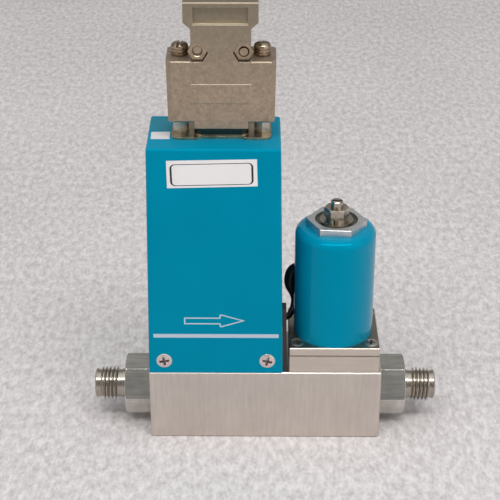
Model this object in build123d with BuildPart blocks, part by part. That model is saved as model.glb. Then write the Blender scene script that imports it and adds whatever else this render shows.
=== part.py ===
from build123d import *
from math import cos, radians, sin, sqrt, tan
import os

os.makedirs("parts", exist_ok=True)

# Lengths in millimetres. X runs with the flow, Y to the back, Z up from the underside of the block.

# Clearances
fit_gap = 0.05
slip_gap = 0.1
wall_gap = 0.3

# Flow block, cut from stainless bar
block_length = 76.2
block_depth = 26.8
block_height = 25.4
block_edge = 0.35
chamber_radius = 5.5
chamber_end = 6.0
passage_radius = 2.0
outlet_hole_radius = 1.2
mount_spacing = 38.1
mount_hole_radius = 1.65
mount_hole_depth = 5.0
tapped_depth = 5.0

# Tube fittings
hex_across = 17.46
hex_length = 8.8
hex_bevel = 0.8
neck_length = 10.35
neck_radius = 4.9
thread_radius = 5.556
thread_start = 2.0
thread_length = 5.7
tube_radius = 3.2
tube_depth = 9.2
tube_mouth = 1.1
flow_radius = 2.3
stub_radius = 7.1
stub_length = 8.0
socket_depth = 11.0
port_seal_wire = 0.75

# Flow restrictor in the block
restrictor_length = 11.0
groove_radius = 0.45
groove_count = 14

# Teal cover, straight at front and back and drawn in at its two ends
cover_left = -38.1
cover_right = 5.7
cover_taper = 1.35
cover_top = 105.0
cover_wall = 1.2
cover_rounding = 0.7
cover_screw_height = 29.9
cover_screw_offset = 16.8
cover_head_radius = 2.6
cover_head_dome = 0.45

# Bracket and sensor under the cover
sheet = 1.2
bracket_flange = 9.1
tab_width = 4.4
tab_height = 40.6
sensor_leg_offset = 7.0
sensor_base_half = 14.6
sensor_base_depth = 14.0
sensor_base_height = 7.0
sensor_screw_offset = 11.6
sensor_tube_radius = 0.5
sensor_tube_bore = 0.28
sensor_tube_bend = 3.0
sensor_tube_rise = 22.6
winding_radius = 1.3
winding_length = 3.8
sensor_case_height = 21.6
sensor_case_depth = 12.0
sensor_case_wall = 1.0
bracket_screw_offset = 17.4
bracket_screw_front = 6.0

# Circuit board
board_half = 18.6
board_thickness = 1.6
board_bottom = 57.0
board_screw_height = 61.5
board_screw_offset = 16.8

# Nine-way D connector between cover and hood
connector_x = -13.96
jackscrew_spacing = 24.99
flange_width = 30.81
connector_flange_depth = 12.55
flange_thickness = 0.8
receptacle_inside = (16.92, 8.36)
plug_outside = (16.33, 7.9)
shell_wall = 0.45
shell_height = 5.8
insulator_body = (19.4, 9.4)
pin_pitch = 2.77
pin_row_gap = 2.84
pin_radius = 0.5
post_across = 4.75
post_height = 5.0
post_floor = 1.0
flange_distance = 6.75
jackscrew_radius = 1.42
jackscrew_head_radius = 2.6
jackscrew_head_height = 2.45

# Die-cast hood in two shells
hood_half_depth = 7.0
hood_lip = 0.6
hood_half_bottom = 15.45
hood_half_ledge = 15.8
hood_ledge = 130.65
hood_half_neck = 8.9
hood_neck_top = 140.75
hood_clamp_bottom = 142.75
hood_half_clamp = 10.9
hood_top = 148.9
hood_side_bevel = 1.5
hood_edge = 0.35
tongue_half = 7.65
tongue_drop = 3.55
tongue_thickness = 1.1
chamber_half_width = 9.9
chamber_half_depth = 5.2
hood_chamber_top = 128.5
cable_radius = 4.2
hood_screw_offset = 6.95
hood_screw_height = 133.45
hood_screw_radius = 1.25
hood_nut_across = 5.0
hood_nut_height = 2.0
nut_pocket_depth = 2.6
screw_pocket_radius = 2.4
screw_pocket_depth = 2.2

# Control valve
valve_x = 22.5
valve_width = 29.5
valve_depth = 26.5
valve_body_height = 6.3
valve_flange_height = 3.0
valve_edge = 0.25
valve_screw_x = 12.1
valve_screw_y = 9.5
valve_head_radius = 2.35
seat_radius = 3.4
seat_height = 4.48
orifice_radius = 0.5
outlet_offset = 6.1
channel_half = 1.05
channel_depth = 0.8
valve_chamber_radius = 7.5
valve_chamber_floor = 3.0
foot_radius = 9.2
foot_thickness = 1.5
valve_seal_radius = 9.0
valve_seal_wire = 0.78
guide_radius = 7.0
guide_top = 74.6
plunger_radius = 5.3
plunger_length = 20.1
plunger_travel = 0.5
plunger_lift = 0.02
stop_gap = 0.1
spring_bore = 2.9
spring_bore_depth = 10.0
spring_coil_radius = 2.2
spring_wire = 0.3
spring_turns = 6
stem_radius = 1.95
stem_top = 81.7
stem_button_height = 1.2
stem_button_radius = 2.5
bobbin_wall = 0.8
bobbin_flange = 1.5
cap_radius = 12.8
cap_wall = 1.1
cap_roof = 1.4
cap_top = 72.9
cap_rounding = 3.0
cap_nut_across = 17.46
cap_nut_height = 2.3
cap_nut_turn = -4.5
flat_washer_radius = 4.3
flat_washer_height = 0.6
lock_washer_radius = 3.55
lock_washer_height = 1.1
lock_nut_across = 7.0
lock_nut_height = 3.2

# Valve lead and what it passes on its way to the cover
lead_radius = 1.1
lead_exit_angle = 165.5
lead_exit_height = 55.8
lead_entry = (4.3, 2.4, 37.4)
grommet_radius = 2.8
grommet_stand = 0.9
guard_depth = 4.0
guard_height = 23.8
guard_thickness = 0.9

half_depth = block_depth / 2
port_height = block_height / 2
end_face = block_length / 2
cabin_x = (cover_left + cover_right) / 2
socket_floor = end_face - socket_depth
valve_deck = block_height + valve_body_height + valve_flange_height
outlet_x = valve_x + outlet_offset
jack_places = [connector_x - jackscrew_spacing / 2, connector_x + jackscrew_spacing / 2]
receptacle_top = cover_top + flange_thickness
plug_flange_bottom = receptacle_top + flange_distance
plug_flange_top = plug_flange_bottom + flange_thickness
hood_bottom = plug_flange_bottom - hood_lip
cavity_depth = half_depth - cover_wall


def turn(points, foot, direction, mode=Mode.ADD):
    """Turned solid: each point is a radius and a distance from the foot along the direction."""
    along = Vector(*direction)
    across = Vector(1, 0, 0) if abs(along.Z) > 0.5 else Vector(0, 0, 1)
    with BuildSketch(Plane(origin=foot, x_dir=across, z_dir=across.cross(along))) as profile:
        with BuildLine():
            Polyline(*points, close=True)
        make_face()
    revolve(profile.sketch, axis=Axis(foot, direction), mode=mode)


def rod(foot, direction, radius, length, mode=Mode.ADD):
    turn([(0, 0), (radius, 0), (radius, length), (0, length)], foot, direction, mode)


def drill(mouth, direction, radius, depth):
    rod(mouth, direction, radius, depth, Mode.SUBTRACT)


def ring(foot, direction, inner, outer, length, mode=Mode.ADD):
    turn([(inner, 0), (outer, 0), (outer, length), (inner, length)], foot, direction, mode)


def bar(low, high, mode=Mode.ADD):
    centre = tuple((a + b) / 2 for a, b in zip(low, high))
    with Locations(centre):
        Box(*[b - a for a, b in zip(low, high)], mode=mode)


def prism(points, plane, depth, mode=Mode.ADD):
    with BuildSketch(plane) as outline:
        with BuildLine():
            Polyline(*points, close=True)
        make_face()
    extrude(outline.sketch, amount=depth, mode=mode)


def hexagon(centre, direction, across, depth, turned=0, mode=Mode.ADD):
    along = Vector(*direction)
    side = Vector(1, 0, 0) if abs(along.Z) > 0.5 else Vector(0, 0, 1).cross(along)
    with BuildSketch(Plane(origin=centre, x_dir=side, z_dir=along)) as outline:
        RegularPolygon(across / 2, 6, major_radius=False, rotation=turned)
    extrude(outline.sketch, amount=depth, mode=mode)


def torus(centre, direction, major, minor):
    along = Vector(*direction)
    across = Vector(1, 0, 0) if abs(along.Z) > 0.5 else Vector(0, 0, 1)
    with BuildSketch(Plane(origin=centre, x_dir=across, z_dir=across.cross(along))) as section:
        with Locations((major, 0)):
            Circle(minor)
    revolve(section.sketch, axis=Axis(centre, direction))


def cross_slot(centre, direction, length, width, depth):
    inward = Vector(*direction) * -1
    with BuildSketch(Plane(origin=centre, x_dir=(1, 0, 0), z_dir=inward)) as slots:
        Rectangle(length, width, rotation=45)
        Rectangle(width, length, rotation=45)
    extrude(slots.sketch, amount=depth, mode=Mode.SUBTRACT)


def d_outline(plane, size, grow=0.0):
    """Rounded D shape of the connector, its long side towards the front."""
    width, depth = size[0] + 2 * grow, size[1] + 2 * grow
    with BuildSketch(plane) as outline:
        with Locations((connector_x, 0)):
            Trapezoid(width, depth, 80)
        fillet(outline.vertices(), 2.2 + grow)
    return outline.sketch


def pin_places():
    front = [(connector_x + pin_pitch * (i - 2), -pin_row_gap / 2) for i in range(5)]
    rear = [(connector_x + pin_pitch * (i - 1.5), pin_row_gap / 2) for i in range(4)]
    return front + rear


def cover_side(x, height):
    """X of the cover's outer end wall, which leans in with height."""
    lean = cover_taper * (height - block_height) / (cover_top - block_height)
    return x + lean if x < cabin_x else x - lean


# Flow block with its sockets, chamber, passages and tapped holes
bracket_screws_at = [(cabin_x + side * bracket_screw_offset, -bracket_screw_front) for side in (-1, 1)]
sensor_screws_at = [(cabin_x + side * sensor_screw_offset, 0) for side in (-1, 1)]
sensor_legs_at = [(cabin_x + side * sensor_leg_offset, 0) for side in (-1, 1)]
valve_screws_at = [
    (valve_x + side_x * valve_screw_x, side_y * valve_screw_y) for side_x in (-1, 1) for side_y in (-1, 1)
]
small_screw = 1.25
screw_radius = 1.5
seal_pocket_radius = 1.6
seal_pocket_depth = 0.9

with BuildPart() as base_block:
    bar((-end_face, -half_depth, 0), (end_face, half_depth, block_height))
    chamfer(base_block.edges(), block_edge)
    for side in (-1, 1):
        drill((side * end_face, 0, port_height), (-side, 0, 0), stub_radius + fit_gap, socket_depth)
        drill((side * mount_spacing / 2, 0, 0), (0, 0, 1), mount_hole_radius, mount_hole_depth)
    drill((-socket_floor, 0, port_height), (1, 0, 0), chamber_radius, chamber_end + socket_floor)
    drill((chamber_end, 0, port_height), (1, 0, 0), passage_radius, valve_x - chamber_end)
    drill((valve_x, 0, block_height), (0, 0, -1), passage_radius, block_height - port_height)
    drill((outlet_x, 0, block_height), (0, 0, -1), outlet_hole_radius, block_height - port_height)
    for x, y in bracket_screws_at:
        drill((x, y, block_height), (0, 0, -1), small_screw + fit_gap, tapped_depth)
    for x, y in sensor_screws_at + valve_screws_at:
        drill((x, y, block_height), (0, 0, -1), screw_radius + fit_gap, tapped_depth)
    for x, y in sensor_legs_at:
        drill((x, y, block_height), (0, 0, -1), sensor_tube_radius + slip_gap, block_height - port_height)
        drill((x, y, block_height), (0, 0, -1), seal_pocket_radius, seal_pocket_depth)
base_block.part.label = "base_block"
export_step(base_block.part, "parts/base_block.step")


# Tube fitting: hexagon against the block, stub with its seal groove inside, threaded neck outside
def port_fitting(side):
    face = (side * end_face, 0, port_height)
    outward = (side, 0, 0)
    corner = hex_across / sqrt(3)
    relief_end = hex_length + neck_length - thread_start - thread_length
    tip = hex_length + neck_length
    thread_edge = thread_radius - neck_radius
    seal_groove = stub_radius - 2 * port_seal_wire
    groove_width = 2 * port_seal_wire + slip_gap
    with BuildPart() as fitting:
        hexagon(face, outward, hex_across, hex_length)
        turn(
            [(0, 0), (corner, 0), (corner, hex_length - hex_bevel * 0.58), (corner - hex_bevel, hex_length),
             (0, hex_length)],
            face, outward, Mode.INTERSECT,
        )
        turn(
            [
                (0, hex_length), (neck_radius, hex_length), (neck_radius, relief_end - thread_edge),
                (thread_radius, relief_end), (thread_radius, tip - thread_start),
                (neck_radius, tip - thread_start + thread_edge), (neck_radius, tip - block_edge),
                (neck_radius - block_edge, tip), (0, tip),
            ],
            face, outward,
        )
        turn(
            [
                (0, 0), (stub_radius, 0), (stub_radius, -groove_width), (seal_groove, -groove_width),
                (seal_groove, -2 * groove_width), (stub_radius, -2 * groove_width),
                (stub_radius, -stub_length), (0, -stub_length),
            ],
            face, outward,
        )
        mouth = (side * (end_face + tip), 0, port_height)
        inward = (-side, 0, 0)
        turn(
            [(0, 0), (tube_radius + tube_mouth * tan(radians(24)), 0), (tube_radius, tube_mouth),
             (tube_radius, tube_depth), (0, tube_depth)],
            mouth, inward, Mode.SUBTRACT,
        )
        drill(mouth, inward, flow_radius, tip + stub_length)
    return fitting


def port_seal(side):
    groove_width = 2 * port_seal_wire + slip_gap
    centre = (side * (end_face - 1.5 * groove_width), 0, port_height)
    with BuildPart() as seal:
        torus(centre, (1, 0, 0), stub_radius - port_seal_wire, port_seal_wire - fit_gap / 2)
    return seal


inlet_fitting = port_fitting(-1)
inlet_fitting.part.label = "inlet_fitting"
export_step(inlet_fitting.part, "parts/inlet_fitting.step")
outlet_fitting = port_fitting(1)
outlet_fitting.part.label = "outlet_fitting"
export_step(outlet_fitting.part, "parts/outlet_fitting.step")
inlet_seal = port_seal(-1)
inlet_seal.part.label = "inlet_seal"
export_step(inlet_seal.part, "parts/inlet_seal.step")
outlet_seal = port_seal(1)
outlet_seal.part.label = "outlet_seal"
export_step(outlet_seal.part, "parts/outlet_seal.step")

# Flow restrictor: a plug with fine grooves along its rim
with BuildPart() as flow_restrictor:
    restrictor_radius = chamber_radius - fit_gap
    restrictor_foot = (cabin_x - restrictor_length / 2, 0, port_height)
    with BuildSketch(Plane(origin=restrictor_foot, x_dir=(0, 1, 0), z_dir=(1, 0, 0))):
        Circle(restrictor_radius)
        with PolarLocations(restrictor_radius, groove_count):
            Circle(groove_radius, mode=Mode.SUBTRACT)
    extrude(amount=restrictor_length)
flow_restrictor.part.label = "flow_restrictor"
export_step(flow_restrictor.part, "parts/flow_restrictor.step")

# Folded bracket: foot on the block, low flanges for the cover screws, two tabs for the board
bracket_half = (cover_right - cover_left) / 2 - cover_wall - wall_gap - slip_gap
flange_face = cavity_depth - slip_gap
bracket_top = block_height + sheet
cover_screws_x = [cabin_x - cover_screw_offset, cabin_x + cover_screw_offset]
tab_outer = bracket_half - (cover_taper + fit_gap) / 2

with BuildPart() as chassis_bracket:
    bar((cabin_x - bracket_half, -flange_face, block_height), (cabin_x + bracket_half, flange_face, bracket_top))
    for side in (-1, 1):
        low, high = sorted((side * flange_face, side * (flange_face - sheet)))
        bar((cabin_x - bracket_half, low, block_height),
            (cabin_x + bracket_half, high, block_height + bracket_flange))
        left, right = sorted((cabin_x + side * tab_outer, cabin_x + side * (tab_outer - tab_width)))
        bar((left, board_thickness / 2, block_height),
            (right, board_thickness / 2 + sheet, block_height + tab_height))
    hole_half = sensor_base_half + wall_gap / 2
    hole_depth = sensor_base_depth / 2 + wall_gap
    bar((cabin_x - hole_half, -hole_depth, block_height), (cabin_x + hole_half, hole_depth, bracket_top),
        Mode.SUBTRACT)
    for x, y in bracket_screws_at:
        drill((x, y, bracket_top), (0, 0, -1), small_screw + slip_gap, sheet)
    for x in cover_screws_x:
        drill((x, -flange_face, cover_screw_height), (0, 1, 0), screw_radius + fit_gap, 2 * flange_face)
    for side in (-1, 1):
        drill((cabin_x + side * board_screw_offset, 0, board_screw_height), (0, 1, 0),
              small_screw + slip_gap, board_thickness / 2 + sheet)
chassis_bracket.part.label = "chassis_bracket"
export_step(chassis_bracket.part, "parts/chassis_bracket.step")


def pan_screw(foot, outward, shank_radius, shank_length, head_radius, head_height):
    """Screw with a flat-domed head standing on the foot, its shank running the other way."""
    turn(
        [(0, -shank_length), (shank_radius, -shank_length), (shank_radius, 0), (head_radius, 0),
         (head_radius, head_height * 0.55), (head_radius * 0.7, head_height), (0, head_height)],
        foot, outward,
    )
    top = Vector(*foot) + Vector(*outward) * head_height
    cross_slot(top, outward, head_radius * 1.25, head_radius * 0.3, head_height * 0.6)


pan_head_radius = 2.1
pan_head_height = 1.6
with BuildPart() as bracket_screws:
    for x, y in bracket_screws_at:
        pan_screw((x, y, bracket_top), (0, 0, 1), small_screw, sheet + tapped_depth - slip_gap,
                  pan_head_radius, pan_head_height)
bracket_screws.part.label = "bracket_screws"
export_step(bracket_screws.part, "parts/bracket_screws.step")

# Sensor: manifold, looped capillary, two windings and their case
sensor_base_top = block_height + sensor_base_height
sensor_loop = sensor_base_top - sensor_base_height + sensor_tube_rise
case_half = sensor_leg_offset + winding_radius / 2 + sensor_case_wall

with BuildPart() as sensor_base:
    bar((cabin_x - sensor_base_half, -sensor_base_depth / 2, block_height),
        (cabin_x + sensor_base_half, sensor_base_depth / 2, sensor_base_top))
    chamfer(sensor_base.edges().group_by(Axis.Z)[-1], block_edge)
    for x, y in sensor_legs_at:
        drill((x, y, sensor_base_top), (0, 0, -1), sensor_tube_radius + slip_gap, sensor_base_height)
    for x, y in sensor_screws_at:
        drill((x, y, sensor_base_top), (0, 0, -1), screw_radius + fit_gap, sensor_base_height)
sensor_base.part.label = "sensor_base"
export_step(sensor_base.part, "parts/sensor_base.step")

socket_head_radius = 2.5
socket_head_height = 3.0
with BuildPart() as sensor_screws:
    for x, y in sensor_screws_at:
        shank = sensor_base_height + tapped_depth - slip_gap
        rod((x, y, sensor_base_top - shank), (0, 0, 1), screw_radius, shank)
        rod((x, y, sensor_base_top), (0, 0, 1), socket_head_radius, socket_head_height)
        hexagon((x, y, sensor_base_top + socket_head_height), (0, 0, -1), socket_head_radius,
                socket_head_height / 2, mode=Mode.SUBTRACT)
sensor_screws.part.label = "sensor_screws"
export_step(sensor_screws.part, "parts/sensor_screws.step")

with BuildPart() as sensor_seals:
    for x, y in sensor_legs_at:
        seal_wire = (seal_pocket_depth - fit_gap) / 2
        torus((x, y, block_height - seal_pocket_depth / 2), (0, 0, 1), seal_pocket_radius - seal_wire - fit_gap,
              seal_wire)
sensor_seals.part.label = "sensor_seals"
export_step(sensor_seals.part, "parts/sensor_seals.step")

leg_bottom = block_height - 2 * seal_pocket_depth
with BuildPart() as sensor_tube:
    with BuildLine() as loop:
        FilletPolyline(
            (cabin_x - sensor_leg_offset, 0, leg_bottom),
            (cabin_x - sensor_leg_offset, 0, sensor_loop),
            (cabin_x + sensor_leg_offset, 0, sensor_loop),
            (cabin_x + sensor_leg_offset, 0, leg_bottom),
            radius=sensor_tube_bend,
        )
    with BuildSketch(Plane(origin=(cabin_x - sensor_leg_offset, 0, leg_bottom), z_dir=(0, 0, 1))):
        Circle(sensor_tube_radius)
        Circle(sensor_tube_bore, mode=Mode.SUBTRACT)
    sweep(path=loop.line)
sensor_tube.part.label = "sensor_tube"
export_step(sensor_tube.part, "parts/sensor_tube.step")


def sensor_winding(side):
    start = cabin_x + side * (sensor_leg_offset - sensor_tube_bend) - (winding_length if side > 0 else 0)
    with BuildPart() as winding:
        ring((start, 0, sensor_loop), (1, 0, 0), sensor_tube_radius + fit_gap, winding_radius,
             winding_length - wall_gap)
    return winding


upstream_winding = sensor_winding(-1)
upstream_winding.part.label = "upstream_winding"
export_step(upstream_winding.part, "parts/upstream_winding.step")
downstream_winding = sensor_winding(1)
downstream_winding.part.label = "downstream_winding"
export_step(downstream_winding.part, "parts/downstream_winding.step")

with BuildPart() as sensor_case:
    case_top = sensor_base_top + sensor_case_height
    bar((cabin_x - case_half, -sensor_case_depth / 2, sensor_base_top),
        (cabin_x + case_half, sensor_case_depth / 2, case_top))
    fillet(sensor_case.edges().filter_by(Axis.Z), sensor_case_wall)
    inner_half = case_half - sensor_case_wall
    inner_depth = sensor_case_depth / 2 - sensor_case_wall
    bar((cabin_x - inner_half, -inner_depth, sensor_base_top),
        (cabin_x + inner_half, inner_depth, case_top - sensor_case_wall), Mode.SUBTRACT)
sensor_case.part.label = "sensor_case"
export_step(sensor_case.part, "parts/sensor_case.step")

# Circuit board, whose top edge stands between the two rows of connector pins
insulator_bottom = cover_top - 6.0
board_top = insulator_bottom - wall_gap
board_face = board_thickness / 2
with BuildPart() as main_board:
    bar((cabin_x - board_half, -board_face, board_bottom), (cabin_x + board_half, board_face, board_top))
    fillet(main_board.edges().filter_by(Axis.Y), 1.0)
    for side in (-1, 1):
        drill((cabin_x + side * board_screw_offset, -board_face, board_screw_height), (0, 1, 0),
              small_screw + slip_gap, board_thickness)
main_board.part.label = "main_board"
export_step(main_board.part, "parts/main_board.step")

with BuildPart() as board_screws:
    for side in (-1, 1):
        pan_screw((cabin_x + side * board_screw_offset, -board_face, board_screw_height), (0, -1, 0),
                  small_screw, board_thickness + sheet, pan_head_radius, pan_head_height)
board_screws.part.label = "board_screws"
export_step(board_screws.part, "parts/board_screws.step")

chip_size = (10.0, 3.2, 6.4)
chips_at = [(-8.5, 72.0), (6.5, 72.0), (-8.5, 84.0)]
with BuildPart() as board_chips:
    for x, z in chips_at:
        bar((cabin_x + x - chip_size[0] / 2, -board_face - chip_size[1], z - chip_size[2] / 2),
            (cabin_x + x + chip_size[0] / 2, -board_face, z + chip_size[2] / 2))
    chamfer(board_chips.edges().group_by(Axis.Y)[0], 0.5)
board_chips.part.label = "board_chips"
export_step(board_chips.part, "parts/board_chips.step")

trimmer_size = (9.5, 5.0, 4.8)
with BuildPart() as trimmers:
    for z in (82.0, 88.5):
        x = cabin_x + board_half - trimmer_size[0] - 2
        bar((x, -board_face - trimmer_size[1], z), (x + trimmer_size[0], -board_face, z + trimmer_size[2]))
        rod((x + trimmer_size[0], -board_face - trimmer_size[1] / 2, z + trimmer_size[2] / 2), (1, 0, 0), 1.0, 0.8)
trimmers.part.label = "trimmers"
export_step(trimmers.part, "parts/trimmers.step")

capacitor_radius = 2.5
capacitor_height = 7.0
with BuildPart() as capacitors:
    for x in (-6.0, 1.0):
        rod((cabin_x + x, board_face, 78.0), (0, 1, 0), capacitor_radius, capacitor_height)
    fillet(capacitors.edges().group_by(Axis.Y)[-1], 0.4)
capacitors.part.label = "capacitors"
export_step(capacitors.part, "parts/capacitors.step")


# Teal cover: one drawn shell, open below, with the connector opening in its roof
def cover_outline(inset):
    low, high = block_height, cover_top - inset
    return [
        (cover_side(cover_left, low) + inset, low), (cover_side(cover_right, low) - inset, low),
        (cover_side(cover_right, high) - inset, high), (cover_side(cover_left, high) + inset, high),
    ]


opening_half = (insulator_body[0] / 2 + 0.5, insulator_body[1] / 2 + 0.5)
countersink = cover_head_radius - screw_radius
lead_hole = lead_radius + slip_gap
with BuildPart() as cover:
    prism(cover_outline(0), Plane.XZ.offset(-half_depth), 2 * half_depth)
    outer_edges = cover.edges().filter_by_position(Axis.Z, block_height + 1, cover_top + 1)
    fillet(outer_edges, cover_rounding)
    prism(cover_outline(cover_wall), Plane.XZ.offset(-cavity_depth), 2 * cavity_depth, Mode.SUBTRACT)
    bar((connector_x - opening_half[0], -opening_half[1], cover_top - cover_wall),
        (connector_x + opening_half[0], opening_half[1], cover_top), Mode.SUBTRACT)
    for x in jack_places:
        drill((x, 0, cover_top), (0, 0, -1), jackscrew_radius + slip_gap, cover_wall)
    for x in cover_screws_x:
        for side in (-1, 1):
            turn(
                [(0, 0), (cover_head_radius + fit_gap, 0), (screw_radius + fit_gap, countersink),
                 (screw_radius + fit_gap, cover_wall), (0, cover_wall)],
                (x, side * half_depth, cover_screw_height), (0, -side, 0), Mode.SUBTRACT,
            )
    drill((cover_right, lead_entry[1], lead_entry[2]), (-1, 0, 0), lead_radius + 2 * wall_gap, 2 * cover_wall)
cover.part.label = "cover"
export_step(cover.part, "parts/cover.step")

cover_screw_reach = 3.8
with BuildPart() as cover_screws:
    for x in cover_screws_x:
        for side in (-1, 1):
            foot = (x, side * half_depth, cover_screw_height)
            turn(
                [(0, -cover_screw_reach), (screw_radius, -cover_screw_reach), (screw_radius, -countersink),
                 (cover_head_radius, 0), (cover_head_radius * 0.62, cover_head_dome * 0.8),
                 (0, cover_head_dome)],
                foot, (0, side, 0),
            )
            top = (x, side * (half_depth + cover_head_dome), cover_screw_height)
            cross_slot(top, (0, side, 0), 3.0, 0.75, 1.2)
cover_screws.part.label = "cover_screws"
export_step(cover_screws.part, "parts/cover_screws.step")

# Connector on the cover's roof
roof = Plane.XY.offset(cover_top)
with BuildPart() as receptacle_shell:
    with BuildSketch(roof):
        with Locations((connector_x, 0)):
            RectangleRounded(flange_width, connector_flange_depth, 2.4)
            with GridLocations(jackscrew_spacing, 0, 2, 1):
                Circle(jackscrew_radius + slip_gap, mode=Mode.SUBTRACT)
    extrude(amount=flange_thickness)
    extrude(d_outline(roof, receptacle_inside, shell_wall), amount=flange_thickness + shell_height)
    extrude(d_outline(roof, receptacle_inside), amount=flange_thickness + shell_height, mode=Mode.SUBTRACT)
receptacle_shell.part.label = "receptacle_shell"
export_step(receptacle_shell.part, "parts/receptacle_shell.step")

with BuildPart() as receptacle_insulator:
    bar((connector_x - insulator_body[0] / 2, -insulator_body[1] / 2, insulator_bottom),
        (connector_x + insulator_body[0] / 2, insulator_body[1] / 2, cover_top))
    extrude(d_outline(roof, receptacle_inside, -fit_gap), amount=2 * flange_thickness)
    with BuildSketch(Plane.XY.offset(insulator_bottom)):
        with Locations(*pin_places()):
            Circle(pin_radius + fit_gap)
    extrude(amount=cover_top - insulator_bottom + 2 * flange_thickness, mode=Mode.SUBTRACT)
receptacle_insulator.part.label = "receptacle_insulator"
export_step(receptacle_insulator.part, "parts/receptacle_insulator.step")

pin_top = receptacle_top + shell_height - 0.8
pin_bottom = insulator_bottom - 4.5
with BuildPart() as receptacle_pins:
    with BuildSketch(Plane.XY.offset(pin_bottom)):
        with Locations(*pin_places()):
            Circle(pin_radius)
    extrude(amount=pin_top - pin_bottom)
receptacle_pins.part.label = "receptacle_pins"
export_step(receptacle_pins.part, "parts/receptacle_pins.step")

jack_nut_height = 2.2
with BuildPart() as jack_posts:
    for x in jack_places:
        hexagon((x, 0, receptacle_top), (0, 0, 1), post_across, post_height, 30)
        rod((x, 0, receptacle_top), (0, 0, -1), jackscrew_radius, flange_thickness + cover_wall + jack_nut_height)
        drill((x, 0, receptacle_top + post_height), (0, 0, -1), jackscrew_radius + fit_gap,
              post_height - post_floor)
jack_posts.part.label = "jack_posts"
export_step(jack_posts.part, "parts/jack_posts.step")

with BuildPart() as jack_nuts:
    for x in jack_places:
        roof_inside = cover_top - cover_wall
        hexagon((x, 0, roof_inside), (0, 0, -1), post_across, jack_nut_height)
        drill((x, 0, roof_inside), (0, 0, -1), jackscrew_radius + fit_gap, jack_nut_height)
jack_nuts.part.label = "jack_nuts"
export_step(jack_nuts.part, "parts/jack_nuts.step")

# Plug of the lead, held in the hood
plug_face = Plane.XY.offset(plug_flange_bottom - shell_height)
plug_base = Plane.XY.offset(plug_flange_bottom)
with BuildPart() as plug_shell:
    with BuildSketch(plug_base):
        with Locations((connector_x, 0)):
            RectangleRounded(flange_width, connector_flange_depth, 2.4)
            with GridLocations(jackscrew_spacing, 0, 2, 1):
                Circle(jackscrew_radius + slip_gap, mode=Mode.SUBTRACT)
    extrude(amount=flange_thickness)
    extrude(d_outline(plug_face, plug_outside), amount=shell_height)
    extrude(d_outline(plug_face, plug_outside, -shell_wall), amount=shell_height + flange_thickness,
            mode=Mode.SUBTRACT)
plug_shell.part.label = "plug_shell"
export_step(plug_shell.part, "parts/plug_shell.step")

plug_back = plug_flange_top + 5.2
socket_length = 5.2
with BuildPart() as plug_insulator:
    extrude(d_outline(plug_face, plug_outside, -shell_wall - fit_gap), amount=shell_height + flange_thickness)
    bar((connector_x - insulator_body[0] / 2, -insulator_body[1] / 2, plug_flange_top),
        (connector_x + insulator_body[0] / 2, insulator_body[1] / 2, plug_back))
    with BuildSketch(plug_face):
        with Locations(*pin_places()):
            Circle(pin_radius + slip_gap)
    extrude(amount=plug_back - plug_flange_bottom + shell_height, mode=Mode.SUBTRACT)
plug_insulator.part.label = "plug_insulator"
export_step(plug_insulator.part, "parts/plug_insulator.step")

cup_length = 4.0
with BuildPart() as plug_contacts:
    contact_bottom = plug_flange_bottom - shell_height + socket_length
    for x, y in pin_places():
        rod((x, y, contact_bottom), (0, 0, 1), pin_radius + fit_gap, plug_back - contact_bottom)
        rod((x, y, plug_back), (0, 0, 1), pin_radius * 1.8, cup_length)
        drill((x, y, plug_back + cup_length), (0, 0, -1), pin_radius * 1.2, cup_length * 0.75)
plug_contacts.part.label = "plug_contacts"
export_step(plug_contacts.part, "parts/plug_contacts.step")


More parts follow.
